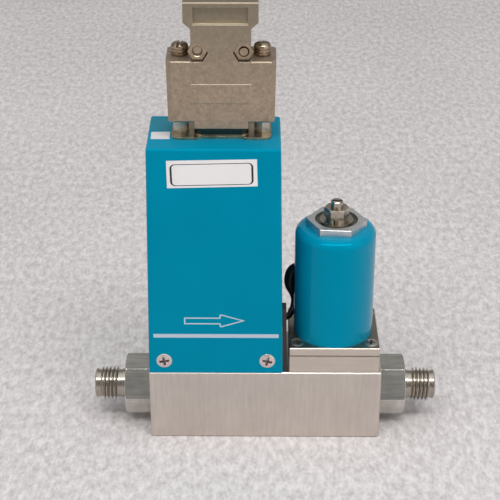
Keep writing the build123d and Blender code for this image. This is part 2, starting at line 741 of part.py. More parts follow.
# One half of the die-cast hood, front (-1) or rear (1)
def hood_shell(side):
    outline = [
        (connector_x + sign * half, height)
        for sign, order in ((1, 1), (-1, -1))
        for half, height in [
            (hood_half_bottom, hood_bottom), (hood_half_ledge, hood_ledge), (hood_half_neck, hood_ledge),
            (hood_half_neck, hood_neck_top), (hood_half_clamp, hood_clamp_bottom), (hood_half_clamp, hood_top),
        ][::order]
    ]
    split = Plane(origin=(0, 0, 0), x_dir=(1, 0, 0), z_dir=(0, -1, 0))
    outer = side * hood_half_depth
    with BuildPart() as shell:
        prism(outline, split, -outer)
        face_edges = shell.faces().sort_by(Axis.Y)[0 if side < 0 else -1].edges()
        flanks = face_edges.filter_by(lambda edge: abs(edge.tangent_at(0).Z) > 0.9).group_by(SortBy.LENGTH)[-1]
        chamfer(flanks, hood_side_bevel)
        face_edges = shell.faces().sort_by(Axis.Y)[0 if side < 0 else -1].edges()
        chamfer(face_edges.filter_by(lambda edge: abs(edge.tangent_at(0).X) > 0.9), hood_edge)
        near, far = sorted((outer, outer - side * tongue_thickness))
        bar((connector_x - tongue_half, near, hood_bottom - tongue_drop),
            (connector_x + tongue_half, far, hood_bottom + hood_lip))
        slot_half = hood_half_ledge + 1
        slot_depth = connector_flange_depth / 2 + slip_gap
        bar((connector_x - slot_half, -slot_depth, plug_flange_bottom),
            (connector_x + slot_half, slot_depth, plug_flange_top), Mode.SUBTRACT)
        bar((connector_x - chamber_half_width, -chamber_half_depth, hood_bottom),
            (connector_x + chamber_half_width, chamber_half_depth, hood_chamber_top), Mode.SUBTRACT)
        drill((connector_x, 0, hood_top), (0, 0, -1), cable_radius, hood_top - hood_chamber_top)
        for x in jack_places:
            drill((x, 0, hood_bottom), (0, 0, 1), jackscrew_radius + 2 * slip_gap, hood_ledge - hood_bottom)
        for sign in (-1, 1):
            x = connector_x + sign * hood_screw_offset
            drill((x, 0, hood_screw_height), (0, side, 0), hood_screw_radius + slip_gap, hood_half_depth)
            if side < 0:
                hexagon((x, outer, hood_screw_height), (0, 1, 0), hood_nut_across + slip_gap, nut_pocket_depth,
                        mode=Mode.SUBTRACT)
            else:
                drill((x, outer, hood_screw_height), (0, -1, 0), screw_pocket_radius, screw_pocket_depth)
        skin = Plane(origin=(connector_x, outer, 0), x_dir=(1, 0, 0), z_dir=(0, -1, 0))
        with BuildSketch(skin) as field:
            with Locations((0, (hood_clamp_bottom + hood_top) / 2 - 1.15)):
                Rectangle(16.2, 5.35)
        extrude(field.sketch, amount=side * 0.8, mode=Mode.SUBTRACT)
        with BuildSketch(skin) as plate:
            with Locations((0, hood_ledge - 10.2)):
                Rectangle(17.7, 6.05)
        extrude(plate.sketch, amount=side * 0.25, mode=Mode.SUBTRACT)
    return shell


hood_front_shell = hood_shell(-1)
hood_front_shell.part.label = "hood_front_shell"
export_step(hood_front_shell.part, "parts/hood_front_shell.step")
hood_rear_shell = hood_shell(1)
hood_rear_shell.part.label = "hood_rear_shell"
export_step(hood_rear_shell.part, "parts/hood_rear_shell.step")

# Screws and nuts that close the hood, the left screw shorter than the right
hood_screw_seat = hood_half_depth - screw_pocket_depth
nut_face = hood_half_depth - nut_pocket_depth
screw_ends = (nut_face, hood_half_depth - 0.9)
with BuildPart() as hood_screws:
    for sign, end in zip((-1, 1), screw_ends):
        x = connector_x + sign * hood_screw_offset
        pan_screw((x, hood_screw_seat, hood_screw_height), (0, 1, 0), hood_screw_radius,
                  hood_screw_seat + end, screw_pocket_radius - wall_gap, pan_head_height)
hood_screws.part.label = "hood_screws"
export_step(hood_screws.part, "parts/hood_screws.step")

with BuildPart() as hood_nuts:
    for sign in (-1, 1):
        x = connector_x + sign * hood_screw_offset
        hexagon((x, -nut_face, hood_screw_height), (0, -1, 0), hood_nut_across, hood_nut_height)
        drill((x, -nut_face, hood_screw_height), (0, -1, 0), hood_screw_radius + fit_gap, hood_nut_height)
hood_nuts.part.label = "hood_nuts"
export_step(hood_nuts.part, "parts/hood_nuts.step")

# Jackscrews stand on the hood's ledge and reach down into the hexagonal posts
jackscrew_end = receptacle_top + post_floor + wall_gap
with BuildPart() as jackscrews:
    for x in jack_places:
        turn(
            [
                (0, jackscrew_end - hood_ledge), (jackscrew_radius, jackscrew_end - hood_ledge),
                (jackscrew_radius, 0), (jackscrew_head_radius, 0), (jackscrew_head_radius, 0.7),
                (jackscrew_head_radius - 0.35, 0.7), (jackscrew_head_radius - 0.35, 1.0),
                (jackscrew_head_radius, 1.0), (jackscrew_head_radius, jackscrew_head_height - 0.4),
                (jackscrew_head_radius - 0.4, jackscrew_head_height), (0, jackscrew_head_height),
            ],
            (x, 0, hood_ledge), (0, 0, 1),
        )
        cross_slot((x, 0, hood_ledge + jackscrew_head_height), (0, 0, 1), 3.6, 0.8, 1.1)
jackscrews.part.label = "jackscrews"
export_step(jackscrews.part, "parts/jackscrews.step")

# Valve body and the flange above it, held to the block by four screws
body_top = block_height + valve_body_height
foot_bottom = body_top - foot_thickness


def valve_plate(bottom, top):
    bar((valve_x - valve_width / 2, -valve_depth / 2, bottom), (valve_x + valve_width / 2, valve_depth / 2, top))


with BuildPart() as valve_body:
    valve_plate(block_height, body_top)
    chamfer(valve_body.edges(), valve_edge)
    drill((valve_x, 0, block_height), (0, 0, 1), seat_radius + fit_gap, valve_body_height)
    drill((valve_x, 0, body_top), (0, 0, -1), valve_chamber_radius, valve_body_height - valve_chamber_floor)
    drill((valve_x, 0, body_top), (0, 0, -1), foot_radius + slip_gap, foot_thickness)
    ring((valve_x, 0, block_height), (0, 0, 1), outlet_offset - channel_half, outlet_offset + channel_half,
         channel_depth, Mode.SUBTRACT)
    ring((valve_x, 0, block_height), (0, 0, 1), valve_seal_radius - valve_seal_wire - fit_gap,
         valve_seal_radius + valve_seal_wire + fit_gap, 2 * valve_seal_wire + fit_gap, Mode.SUBTRACT)
    for side_x, side_y in ((1, 0), (0, 1), (-1, 0), (0, -1)):
        drill((valve_x + side_x * outlet_offset, side_y * outlet_offset, block_height), (0, 0, 1),
              channel_half - fit_gap, valve_chamber_floor)
    for x, y in valve_screws_at:
        drill((x, y, block_height), (0, 0, 1), screw_radius + slip_gap, valve_body_height)
valve_body.part.label = "valve_body"
export_step(valve_body.part, "parts/valve_body.step")

valve_countersink = valve_head_radius - screw_radius
with BuildPart() as valve_flange:
    valve_plate(body_top, valve_deck)
    chamfer(valve_flange.edges(), valve_edge)
    drill((valve_x, 0, body_top), (0, 0, 1), guide_radius + fit_gap, valve_flange_height)
    for x, y in valve_screws_at:
        turn(
            [(0, 0), (valve_head_radius + fit_gap, 0), (screw_radius + slip_gap, valve_countersink),
             (screw_radius + slip_gap, valve_flange_height), (0, valve_flange_height)],
            (x, y, valve_deck), (0, 0, -1), Mode.SUBTRACT,
        )
valve_flange.part.label = "valve_flange"
export_step(valve_flange.part, "parts/valve_flange.step")

flange_screw_reach = valve_body_height + valve_flange_height + tapped_depth - wall_gap
with BuildPart() as flange_screws:
    for x, y in valve_screws_at:
        turn(
            [(0, -flange_screw_reach), (screw_radius, -flange_screw_reach), (screw_radius, -valve_countersink),
             (valve_head_radius, 0), (valve_head_radius * 0.7, 0.2), (0, 0.25)],
            (x, y, valve_deck), (0, 0, 1),
        )
        cross_slot((x, y, valve_deck + 0.25), (0, 0, 1), 2.6, 0.6, 1.0)
flange_screws.part.label = "flange_screws"
export_step(flange_screws.part, "parts/flange_screws.step")

with BuildPart() as valve_seal:
    torus((valve_x, 0, block_height + valve_seal_wire), (0, 0, 1), valve_seal_radius, valve_seal_wire)
valve_seal.part.label = "valve_seal"
export_step(valve_seal.part, "parts/valve_seal.step")

# Seat with its orifice, guide tube, plunger and what adjusts it
with BuildPart() as valve_seat:
    turn(
        [(1.2, 0), (seat_radius, 0), (seat_radius, valve_chamber_floor), (1.8, valve_chamber_floor),
         (1.0, seat_height), (orifice_radius, seat_height), (orifice_radius, 2.6), (1.2, 2.6)],
        (valve_x, 0, block_height), (0, 0, 1),
    )
valve_seat.part.label = "valve_seat"
export_step(valve_seat.part, "parts/valve_seat.step")

guide_bore = plunger_radius + fit_gap
guide_length = guide_top - foot_bottom
with BuildPart() as guide_tube:
    turn(
        [(guide_bore, 0), (foot_radius, 0), (foot_radius, foot_thickness), (guide_radius, foot_thickness),
         (guide_radius, guide_length - 0.4), (guide_radius - 0.4, guide_length), (guide_bore, guide_length)],
        (valve_x, 0, foot_bottom), (0, 0, 1),
    )
guide_tube.part.label = "guide_tube"
export_step(guide_tube.part, "parts/guide_tube.step")

plunger_bottom = block_height + seat_height + plunger_lift
plunger_top = plunger_bottom + plunger_length
plunger_seal_radius = 3.0
plunger_seal_height = 1.2
with BuildPart() as plunger:
    rod((valve_x, 0, plunger_bottom), (0, 0, 1), plunger_radius, plunger_length)
    drill((valve_x, 0, plunger_bottom), (0, 0, 1), plunger_seal_radius, plunger_seal_height)
    drill((valve_x, 0, plunger_top), (0, 0, -1), spring_bore, spring_bore_depth)
    for side in (-1, 1):
        drill((valve_x, side * plunger_radius, plunger_bottom), (0, 0, 1), 0.7, plunger_length)
plunger.part.label = "plunger"
export_step(plunger.part, "parts/plunger.step")

with BuildPart() as plunger_seal:
    rod((valve_x, 0, plunger_bottom), (0, 0, 1), plunger_seal_radius - fit_gap, plunger_seal_height)
plunger_seal.part.label = "plunger_seal"
export_step(plunger_seal.part, "parts/plunger_seal.step")

stem_bottom = plunger_top - 2.0
spring_floor = plunger_top - spring_bore_depth
with BuildPart() as plunger_spring:
    spring_height = stem_bottom - spring_floor - 2 * spring_wire
    with BuildLine() as coil:
        Helix(spring_height / spring_turns, spring_height, spring_coil_radius,
              center=(valve_x, 0, spring_floor + spring_wire))
    with BuildSketch(Plane(origin=coil.line @ 0, z_dir=coil.line % 0)):
        Circle(spring_wire)
    sweep(path=coil.line, is_frenet=True)
plunger_spring.part.label = "plunger_spring"
export_step(plunger_spring.part, "parts/plunger_spring.step")

pole_bottom = plunger_top + plunger_travel + stop_gap
with BuildPart() as pole_piece:
    ring((valve_x, 0, pole_bottom), (0, 0, 1), stem_radius + fit_gap, plunger_radius, guide_top - pole_bottom)
pole_piece.part.label = "pole_piece"
export_step(pole_piece.part, "parts/pole_piece.step")

with BuildPart() as adjusting_stem:
    rod((valve_x, 0, stem_bottom), (0, 0, 1), stem_button_radius, stem_button_height)
    rod((valve_x, 0, stem_bottom), (0, 0, 1), stem_radius, stem_top - stem_bottom)
    chamfer(adjusting_stem.edges().group_by(Axis.Z)[-1], 0.3)
    bar((valve_x - stem_radius, -0.4, stem_top - 1.2), (valve_x + stem_radius, 0.4, stem_top), Mode.SUBTRACT)
adjusting_stem.part.label = "adjusting_stem"
export_step(adjusting_stem.part, "parts/adjusting_stem.step")

# Coil under the teal cap
bobbin_bore = guide_radius + slip_gap
bobbin_top = cap_top - cap_roof - slip_gap
bobbin_radius = cap_radius - cap_wall - wall_gap
with BuildPart() as coil_bobbin:
    turn(
        [
            (bobbin_bore, 0), (bobbin_radius, 0), (bobbin_radius, bobbin_flange),
            (bobbin_bore + bobbin_wall, bobbin_flange), (bobbin_bore + bobbin_wall, bobbin_top - valve_deck - bobbin_flange),
            (bobbin_radius, bobbin_top - valve_deck - bobbin_flange), (bobbin_radius, bobbin_top - valve_deck),
            (bobbin_bore, bobbin_top - valve_deck),
        ],
        (valve_x, 0, valve_deck), (0, 0, 1),
    )
coil_bobbin.part.label = "coil_bobbin"
export_step(coil_bobbin.part, "parts/coil_bobbin.step")

with BuildPart() as coil_winding:
    ring((valve_x, 0, valve_deck + bobbin_flange + fit_gap), (0, 0, 1), bobbin_bore + bobbin_wall + fit_gap,
         bobbin_radius - wall_gap, bobbin_top - valve_deck - 2 * bobbin_flange - 2 * fit_gap)
coil_winding.part.label = "coil_winding"
export_step(coil_winding.part, "parts/coil_winding.step")

exit_out = (cos(radians(lead_exit_angle)), sin(radians(lead_exit_angle)))
with BuildPart() as valve_cap:
    rod((valve_x, 0, valve_deck), (0, 0, 1), cap_radius, cap_top - valve_deck)
    fillet(valve_cap.edges().group_by(Axis.Z)[-1], cap_rounding)
    drill((valve_x, 0, valve_deck), (0, 0, 1), cap_radius - cap_wall, cap_top - cap_roof - valve_deck)
    drill((valve_x, 0, cap_top), (0, 0, -1), guide_radius + fit_gap, cap_roof)
    drill((valve_x + exit_out[0] * (cap_radius - 2 * cap_wall), exit_out[1] * (cap_radius - 2 * cap_wall),
           lead_exit_height), (exit_out[0], exit_out[1], 0), lead_hole, 3 * cap_wall)
valve_cap.part.label = "valve_cap"
export_step(valve_cap.part, "parts/valve_cap.step")

with BuildPart() as cap_nut:
    hexagon((valve_x, 0, cap_top), (0, 0, 1), cap_nut_across, cap_nut_height, cap_nut_turn)
    chamfer(cap_nut.edges().group_by(Axis.Z)[-1], 0.15)
    drill((valve_x, 0, cap_top), (0, 0, 1), guide_radius + fit_gap, cap_nut_height)
cap_nut.part.label = "cap_nut"
export_step(cap_nut.part, "parts/cap_nut.step")

with BuildPart() as flat_washer:
    ring((valve_x, 0, guide_top), (0, 0, 1), stem_radius + slip_gap, flat_washer_radius, flat_washer_height)
flat_washer.part.label = "flat_washer"
export_step(flat_washer.part, "parts/flat_washer.step")

lock_washer_bottom = guide_top + flat_washer_height
with BuildPart() as lock_washer:
    ring((valve_x, 0, lock_washer_bottom), (0, 0, 1), stem_radius + slip_gap, lock_washer_radius,
         lock_washer_height)
    bar((valve_x - 1.1, -lock_washer_radius, lock_washer_bottom),
        (valve_x - 0.7, 0, lock_washer_bottom + lock_washer_height), Mode.SUBTRACT)
lock_washer.part.label = "lock_washer"
export_step(lock_washer.part, "parts/lock_washer.step")

lock_nut_bottom = lock_washer_bottom + lock_washer_height
with BuildPart() as lock_nut:
    hexagon((valve_x, 0, lock_nut_bottom), (0, 0, 1), lock_nut_across, lock_nut_height)
    corner = lock_nut_across / sqrt(3)
    turn(
        [(0, 0), (corner, 0), (corner, lock_nut_height - 0.35), (corner - 0.6, lock_nut_height),
         (0, lock_nut_height)],
        (valve_x, 0, lock_nut_bottom), (0, 0, 1), Mode.INTERSECT,
    )
    drill((valve_x, 0, lock_nut_bottom), (0, 0, 1), stem_radius + fit_gap, lock_nut_height)
lock_nut.part.label = "lock_nut"
export_step(lock_nut.part, "parts/lock_nut.step")

# Black guard strip and grommet on the cover's end wall
with BuildPart() as lead_guard:
    guard_top = block_height + guard_height
    prism(
        [
            (cover_side(cover_right, block_height), block_height),
            (cover_side(cover_right, block_height) + guard_thickness, block_height),
            (cover_side(cover_right, guard_top) + guard_thickness, guard_top),
            (cover_side(cover_right, guard_top), guard_top),
        ],
        Plane.XZ.offset(half_depth - cover_rounding - guard_depth), guard_depth,
    )
lead_guard.part.label = "lead_guard"
export_step(lead_guard.part, "parts/lead_guard.step")

entry_x = cover_side(cover_right, lead_entry[2] - grommet_radius)
with BuildPart() as lead_grommet:
    turn(
        [
            (lead_radius + slip_gap, -cover_wall), (lead_radius + wall_gap * 1.5, -cover_wall),
            (lead_radius + wall_gap * 1.5, fit_gap), (grommet_radius, fit_gap),
            (grommet_radius - 0.4, grommet_stand), (lead_radius + slip_gap, grommet_stand),
        ],
        (entry_x, lead_entry[1], lead_entry[2]), (1, 0, 0),
    )
lead_grommet.part.label = "lead_grommet"
export_step(lead_grommet.part, "parts/lead_grommet.step")

# Valve lead from the cap's wall to the grommet
lead_start = cap_radius - cap_wall + fit_gap
lead_route = [
    (valve_x + exit_out[0] * lead_start, exit_out[1] * lead_start, lead_exit_height),
    (8.0, 3.75, 55.6),
    (7.35, 4.4, 49.2),
    (9.5, 6.3, 42.6),
    (9.2, 5.9, 39.0),
    (8.5, 2.4, 37.4),
    lead_entry,
]


def bend_radii(points):
    """Largest arc at each corner: 0.45 of the shorter run over the tangent of half the turn."""
    radii = []
    for before, here, after in zip(points, points[1:], points[2:]):
        run_in = Vector(*here) - Vector(*before)
        run_out = Vector(*after) - Vector(*here)
        turn_angle = radians(run_in.get_angle(run_out))
        radii.append(0.45 * min(run_in.length, run_out.length) / tan(turn_angle / 2))
    return radii


with BuildPart() as valve_lead:
    with BuildLine() as route:
        FilletPolyline(*lead_route, radius=bend_radii(lead_route))
    with BuildSketch(Plane(origin=route.line @ 0, z_dir=route.line % 0)):
        Circle(lead_radius)
    sweep(path=route.line)
valve_lead.part.label = "valve_lead"
export_step(valve_lead.part, "parts/valve_lead.step")
print("valve lead bend radii:", [round(radius, 2) for radius in bend_radii(lead_route)])
print("valve lead length:", round(sum(edge.length for edge in route.edges()), 2))
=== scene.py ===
import math

import bmesh
import bpy
from mathutils import Matrix, Vector


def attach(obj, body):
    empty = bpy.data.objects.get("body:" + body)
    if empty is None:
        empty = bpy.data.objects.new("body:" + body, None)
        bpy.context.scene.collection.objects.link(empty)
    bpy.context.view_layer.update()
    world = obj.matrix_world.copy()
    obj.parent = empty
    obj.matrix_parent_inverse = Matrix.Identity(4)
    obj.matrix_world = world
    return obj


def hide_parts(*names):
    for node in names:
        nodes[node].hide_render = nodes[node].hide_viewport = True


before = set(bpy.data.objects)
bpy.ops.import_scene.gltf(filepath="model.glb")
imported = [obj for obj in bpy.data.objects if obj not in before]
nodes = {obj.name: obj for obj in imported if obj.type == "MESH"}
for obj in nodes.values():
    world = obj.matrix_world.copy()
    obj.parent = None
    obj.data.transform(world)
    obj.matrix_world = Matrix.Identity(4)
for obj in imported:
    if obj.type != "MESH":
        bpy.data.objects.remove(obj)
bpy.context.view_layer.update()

mm = 0.001
rootBody = "controller"
print("frame loaded:", len(nodes), "nodes")


# sockets that take Python operators, in shader and geometry trees alike
class Wire:
    def __init__(self, tree, socket):
        self.tree = tree
        self.socket = socket

    def math(self, operation, *others, clamp=False, swap=False):
        values = [self, *others]
        if swap:
            values.reverse()
        return self.tree.node("ShaderNodeMath", {"operation": operation, "use_clamp": clamp},
                              dict(enumerate(values)))

    def __add__(self, other):
        return self.math("ADD", other)

    __radd__ = __add__

    def __sub__(self, other):
        return self.math("SUBTRACT", other)

    def __rsub__(self, other):
        return self.math("SUBTRACT", other, swap=True)

    def __mul__(self, other):
        return self.math("MULTIPLY", other)

    __rmul__ = __mul__

    def __truediv__(self, other):
        return self.math("DIVIDE", other)

    def __pow__(self, other):
        return self.math("POWER", other)

    def clamped(self):
        return self.math("ADD", 0.0, clamp=True)

    def between(self, low, high):  # 0 at low, 1 at high
        return ((self - low) * (1 / (high - low))).clamped()


class Tree:
    def __init__(self, nodeTree):
        self.nodeTree = nodeTree

    def node(self, kind, settings=None, sockets=None, out=0):
        made = self.nodeTree.nodes.new(kind)
        for key, value in (settings or {}).items():
            if key == "stops":
                ramp = made.color_ramp
                for i, (place, colour) in enumerate(value):
                    stop = ramp.elements[i] if i < 2 else ramp.elements.new(place)
                    stop.position = place
                    stop.color = colour
            else:
                setattr(made, key, value)
        for key, value in (sockets or {}).items():
            if isinstance(value, Wire):
                self.nodeTree.links.new(value.socket, made.inputs[key])
            else:
                made.inputs[key].default_value = value
        return Wire(self, made.outputs[out])


class Finish(Tree):  # a material with one Principled shader
    def __init__(self, name, **constants):
        self.material = bpy.data.materials.new(name)
        self.material.use_nodes = True
        super().__init__(self.material.node_tree)
        self.nodeTree.nodes.clear()
        self.shader = self.nodeTree.nodes.new("ShaderNodeBsdfPrincipled")
        output = self.nodeTree.nodes.new("ShaderNodeOutputMaterial")
        self.nodeTree.links.new(self.shader.outputs["BSDF"], output.inputs["Surface"])
        self.set(**constants)

    def set(self, **values):
        for key, value in values.items():
            socket = self.shader.inputs[key.replace("_", " ")]
            if isinstance(value, Wire):
                self.nodeTree.links.new(value.socket, socket)
            else:
                socket.default_value = value

    def place(self, stretch=(1, 1, 1)):
        coords = self.node("ShaderNodeTexCoord", out=3)
        return self.node("ShaderNodeVectorMath", {"operation": "MULTIPLY"}, {0: coords, 1: stretch})

    def at(self, axis):  # position along a row axis in mm
        return self.node("ShaderNodeSeparateXYZ", {}, {0: self.place()}, out="XYZ".index(axis)) * 1000

    def noise(self, scale, detail=3.0, rough=0.5, stretch=(1, 1, 1)):
        return self.node("ShaderNodeTexNoise", {}, {"Vector": self.place(stretch), "Scale": scale,
                                                    "Detail": detail, "Roughness": rough})

    def mix(self, factor, a, b, blend="MIX"):
        return self.node("ShaderNodeMix", {"data_type": "RGBA", "blend_type": blend},
                         {0: factor, 6: a, 7: b}, out=2)

    def bump(self, height, depth, strength=1.0, under=None):
        sockets = {"Height": height, "Distance": depth, "Strength": strength}
        if under:
            sockets["Normal"] = under
        return self.node("ShaderNodeBump", {}, sockets)

    def facing(self, axis):  # -1 to 1 along a row axis
        normal = self.node("ShaderNodeNewGeometry", out=1)
        return self.node("ShaderNodeSeparateXYZ", {}, {0: normal}, out="XYZ".index(axis))

    def softNormal(self, radius):
        return self.node("ShaderNodeBevel", {"samples": 6}, {"Radius": radius * mm})

    def edges(self, radius, gain=5.0):  # 1 where the surface turns a corner
        soft = self.softNormal(radius)
        true = self.node("ShaderNodeNewGeometry", out=3)
        dot = self.node("ShaderNodeVectorMath", {"operation": "DOT_PRODUCT"}, {0: soft, 1: true}, out=1)
        return ((1 - dot) * gain).clamped()


def rgb(r, g, b):
    return (r, g, b, 1.0)


# finishes
neckStart = (47.1, 47.4)  # where the hexagons of both fittings end, in mm from the middle
casting = {"fade": (120.0, 147.0), "clampField": (141.0, 141.5), "clampTop": (147.5, 147.8),
           "fieldDepth": (-6.7, -6.2), "lipDepth": (-5.6, -5.4)}  # heights and depths in mm
flangeTop = (106.0, 106.3)  # above it the connector shells stand in the hood's shade


def groundSteel(name, colour, dark, rough, grain, cloud=0.35, edge=0.25, jointShades=(), darkTopReflection=None, neck=None):
    finish = Finish(name, Metallic=1.0)
    streak = finish.noise(1.0, 4, 0.65, grain)
    fine = finish.noise(1.0, 2, 0.6, tuple(2.7 * g for g in grain))
    patches = finish.noise(130, 3, 0.55)
    tone = (streak * 0.55 + fine * 0.25 + patches * cloud).between(0.25, 0.95)
    # painted highlight: the steel is painted brighter along its edges, where they would catch the lamps
    edgeHighlightMask = finish.edges(0.25)
    base = finish.mix(tone, dark, colour)
    bright = tuple(min(1.0, c * 1.25) for c in colour[:3]) + (1.0,)
    base = finish.mix(edgeHighlightMask * edge, base, bright)
    if darkTopReflection:  # painted reflection: the faces that look up are painted dark brown
        base = finish.mix(finish.facing("Z").between(0.6, 0.95), base, darkTopReflection)
    if neck:  # beyond the hexagons the steel is browner
        base = finish.mix(finish.at("X").math("ABSOLUTE").between(*neckStart) * 0.75, base, neck)
    for seam, half in jointShades:  # painted shade: dark lines at these heights in mm, in the joints between parts
        line = 1 - (finish.at("Z") - seam).math("ABSOLUTE").between(half * 0.6, half)
        base = finish.mix(line * 0.85, base, rgb(0.045, 0.038, 0.03))
    finish.set(Base_Color=base,
               Roughness=(rough - 0.06) + streak * 0.12 + patches * 0.05,
               Normal=finish.bump(streak + fine * 0.5, 0.004 * mm, 0.5, finish.softNormal(0.12)))
    return finish.material


def tealPaint(name, colour, shade, rough, gloss, peel):
    finish = Finish(name, Specular_IOR_Level=gloss, Specular_Tint=rgb(0.0, 0.62, 0.9))
    cloud = finish.noise(60, 2, 0.5)
    speck = finish.noise(1600, 2, 0.6)
    skin = finish.noise(900, 2, 0.45)
    edge = finish.edges(0.6, 3.0)
    base = finish.mix((cloud * 0.7 + speck * 0.3).between(0.3, 0.7), shade, colour)
    # painted highlight: the edges are painted a paler teal
    edgeHighlit = finish.mix(edge * 0.55, base, rgb(0.02, 0.46, 0.66))
    finish.set(Base_Color=edgeHighlit, Roughness=rough + speck * 0.08 - cloud * 0.03,
               Normal=finish.bump(skin, peel * mm, 0.6, finish.softNormal(0.25)))
    return finish.material


def dieCast(name, colour, dark):
    finish = Finish(name, Metallic=0.92)
    sand = finish.noise(1500, 3, 0.7)
    blotch = finish.noise(800, 3, 0.7)
    flow = finish.noise(60, 2, 0.5, (1, 1, 2.5))
    edge = finish.edges(0.3, 5.0)
    base = finish.mix((blotch * 0.55 + flow * 0.12 + sand * 0.45).between(0.38, 0.75), dark, colour)
    height, depth = finish.at("Z"), finish.at("Y")
    # painted shade: the hood is painted darker towards the top
    base = finish.mix(height.between(*casting["fade"]) * 0.7, base, rgb(0.25, 0.225, 0.17))
    clamp = height.between(*casting["clampField"])
    # painted shade: the sunk clamp field is painted darker
    sunk = depth.between(*casting["fieldDepth"]) * (0 - finish.facing("Y")).between(0.8, 0.95)
    base = finish.mix(sunk * clamp * 0.18, base, rgb(0.09, 0.085, 0.06))
    ledgeHighlight = finish.facing("Z").between(0.5, 0.9) * (1 - depth.between(*casting["lipDepth"]))
    ledgeHighlight = ledgeHighlight * clamp * (1 - height.between(*casting["clampTop"]))  # painted highlight: the field's lower ledge, which looks up, is painted bright
    base = finish.mix(ledgeHighlight, base, rgb(0.98, 0.9, 0.74))
    # painted highlight: the edges are painted paler
    finish.set(Base_Color=finish.mix(edge * 0.5, base, rgb(0.78, 0.68, 0.55)),
               Roughness=0.40 + sand * 0.14 + blotch * 0.06,
               Normal=finish.bump(sand * 0.6 + blotch, 0.05 * mm, 0.7, finish.softNormal(0.3)))
    return finish.material


def turnedMetal(name, colour, dark, rough):
    finish = Finish(name, Metallic=1.0)
    lines = finish.noise(2600, 2, 0.5)
    patches = finish.noise(400, 3, 0.6)
    edge = finish.edges(0.15, 4.0)
    base = finish.mix((lines * 0.25 + patches * 0.6).between(0.2, 0.75), dark, colour)
    pale = tuple(min(1.0, c * 1.2 + 0.05) for c in colour[:3]) + (1.0,)
    # painted highlight: the edges are painted paler
    finish.set(Base_Color=finish.mix(edge * 0.35, base, pale), Roughness=rough + patches * 0.12,
               Normal=finish.bump(lines, 0.003 * mm, 0.5, finish.softNormal(0.08)))
    return finish.material


def chromate(name):
    finish = Finish(name, Metallic=0.95)
    tint = finish.noise(330, 3, 0.6)
    drift = finish.noise(90, 2, 0.5)
    warm = finish.mix(tint.between(0.3, 0.7), rgb(0.36, 0.29, 0.19), rgb(0.62, 0.52, 0.38))
    base = finish.mix(drift.between(0.5, 0.75) * 0.35, warm, rgb(0.3, 0.26, 0.15))
    base = finish.mix(finish.at("Z").between(*flangeTop), base, rgb(0.05, 0.06, 0.05))
    finish.set(Base_Color=base, Roughness=0.24 + tint * 0.14,
               Normal=finish.bump(tint, 0.006 * mm, 0.4, finish.softNormal(0.15)))
    return finish.material


def plastic(name, colour, pale, rough, grain=900, depth=0.01):
    finish = Finish(name)
    skin = finish.noise(grain, 3, 0.6)
    dust = finish.noise(170, 4, 0.65)
    finish.set(Base_Color=finish.mix(dust.between(0.45, 0.8) * 0.35 + skin * 0.12, colour, pale),
               Roughness=rough + skin * 0.12, Normal=finish.bump(skin, depth * mm, 0.5))
    return finish.material


def laminate(name):
    finish = Finish(name, Coat_Roughness=0.2)
    weave = finish.node("ShaderNodeTexWave", {"wave_type": "BANDS", "bands_direction": "X"},
                        {"Vector": finish.place(), "Scale": 700.0, "Distortion": 0.4})
    cross = finish.node("ShaderNodeTexWave", {"wave_type": "BANDS", "bands_direction": "Z"},
                        {"Vector": finish.place(), "Scale": 700.0, "Distortion": 0.4})
    tracks = finish.node("ShaderNodeTexBrick", {},
                         {"Vector": finish.place((0.7, 1, 1)), "Scale": 160.0, "Mortar Size": 0.03}, out=1)
    base = finish.mix(weave * cross, rgb(0.012, 0.1, 0.045), rgb(0.02, 0.17, 0.07))
    finish.set(Base_Color=finish.mix(tracks * 0.5, base, rgb(0.05, 0.28, 0.12)), Roughness=0.35 + weave * 0.1,
               Coat_Weight=0.4, Normal=finish.bump(tracks + weave * 0.1, 0.02 * mm, 0.5))
    return finish.material


def woundCopper(name, pitch, axis):
    finish = Finish(name, Metallic=0.85)
    turns = finish.node("ShaderNodeTexWave", {"wave_type": "BANDS", "bands_direction": axis},
                        {"Vector": finish.place(), "Scale": 0.314 / (pitch * mm), "Distortion": 0.15})
    tarnish = finish.noise(300, 3, 0.6)
    base = finish.mix(tarnish, rgb(0.42, 0.16, 0.06), rgb(0.68, 0.3, 0.13))
    finish.set(Base_Color=finish.mix(turns * 0.5, base, rgb(0.2, 0.07, 0.03)), Roughness=0.32 + tarnish * 0.15,
               Normal=finish.bump(turns, -0.05 * mm, 0.8))
    return finish.material


def paper(name, colour, shade):
    finish = Finish(name)
    fibre = finish.noise(2200, 3, 0.6)
    soil = finish.noise(120, 3, 0.6)
    finish.set(Base_Color=finish.mix(soil.between(0.4, 0.85) * 0.5, colour, shade),
               Roughness=0.42 + fibre * 0.15, Normal=finish.bump(fibre, 0.004 * mm, 0.4))
    return finish.material


def ink(name, colour, worn):
    finish = Finish(name)
    grain = finish.noise(2400, 3, 0.65)
    finish.set(Base_Color=finish.mix(grain.between(0.5, 0.8) * 0.5, colour, worn), Roughness=0.5 + grain * 0.2,
               Normal=finish.bump(grain, 0.004 * mm, 0.4))
    return finish.material


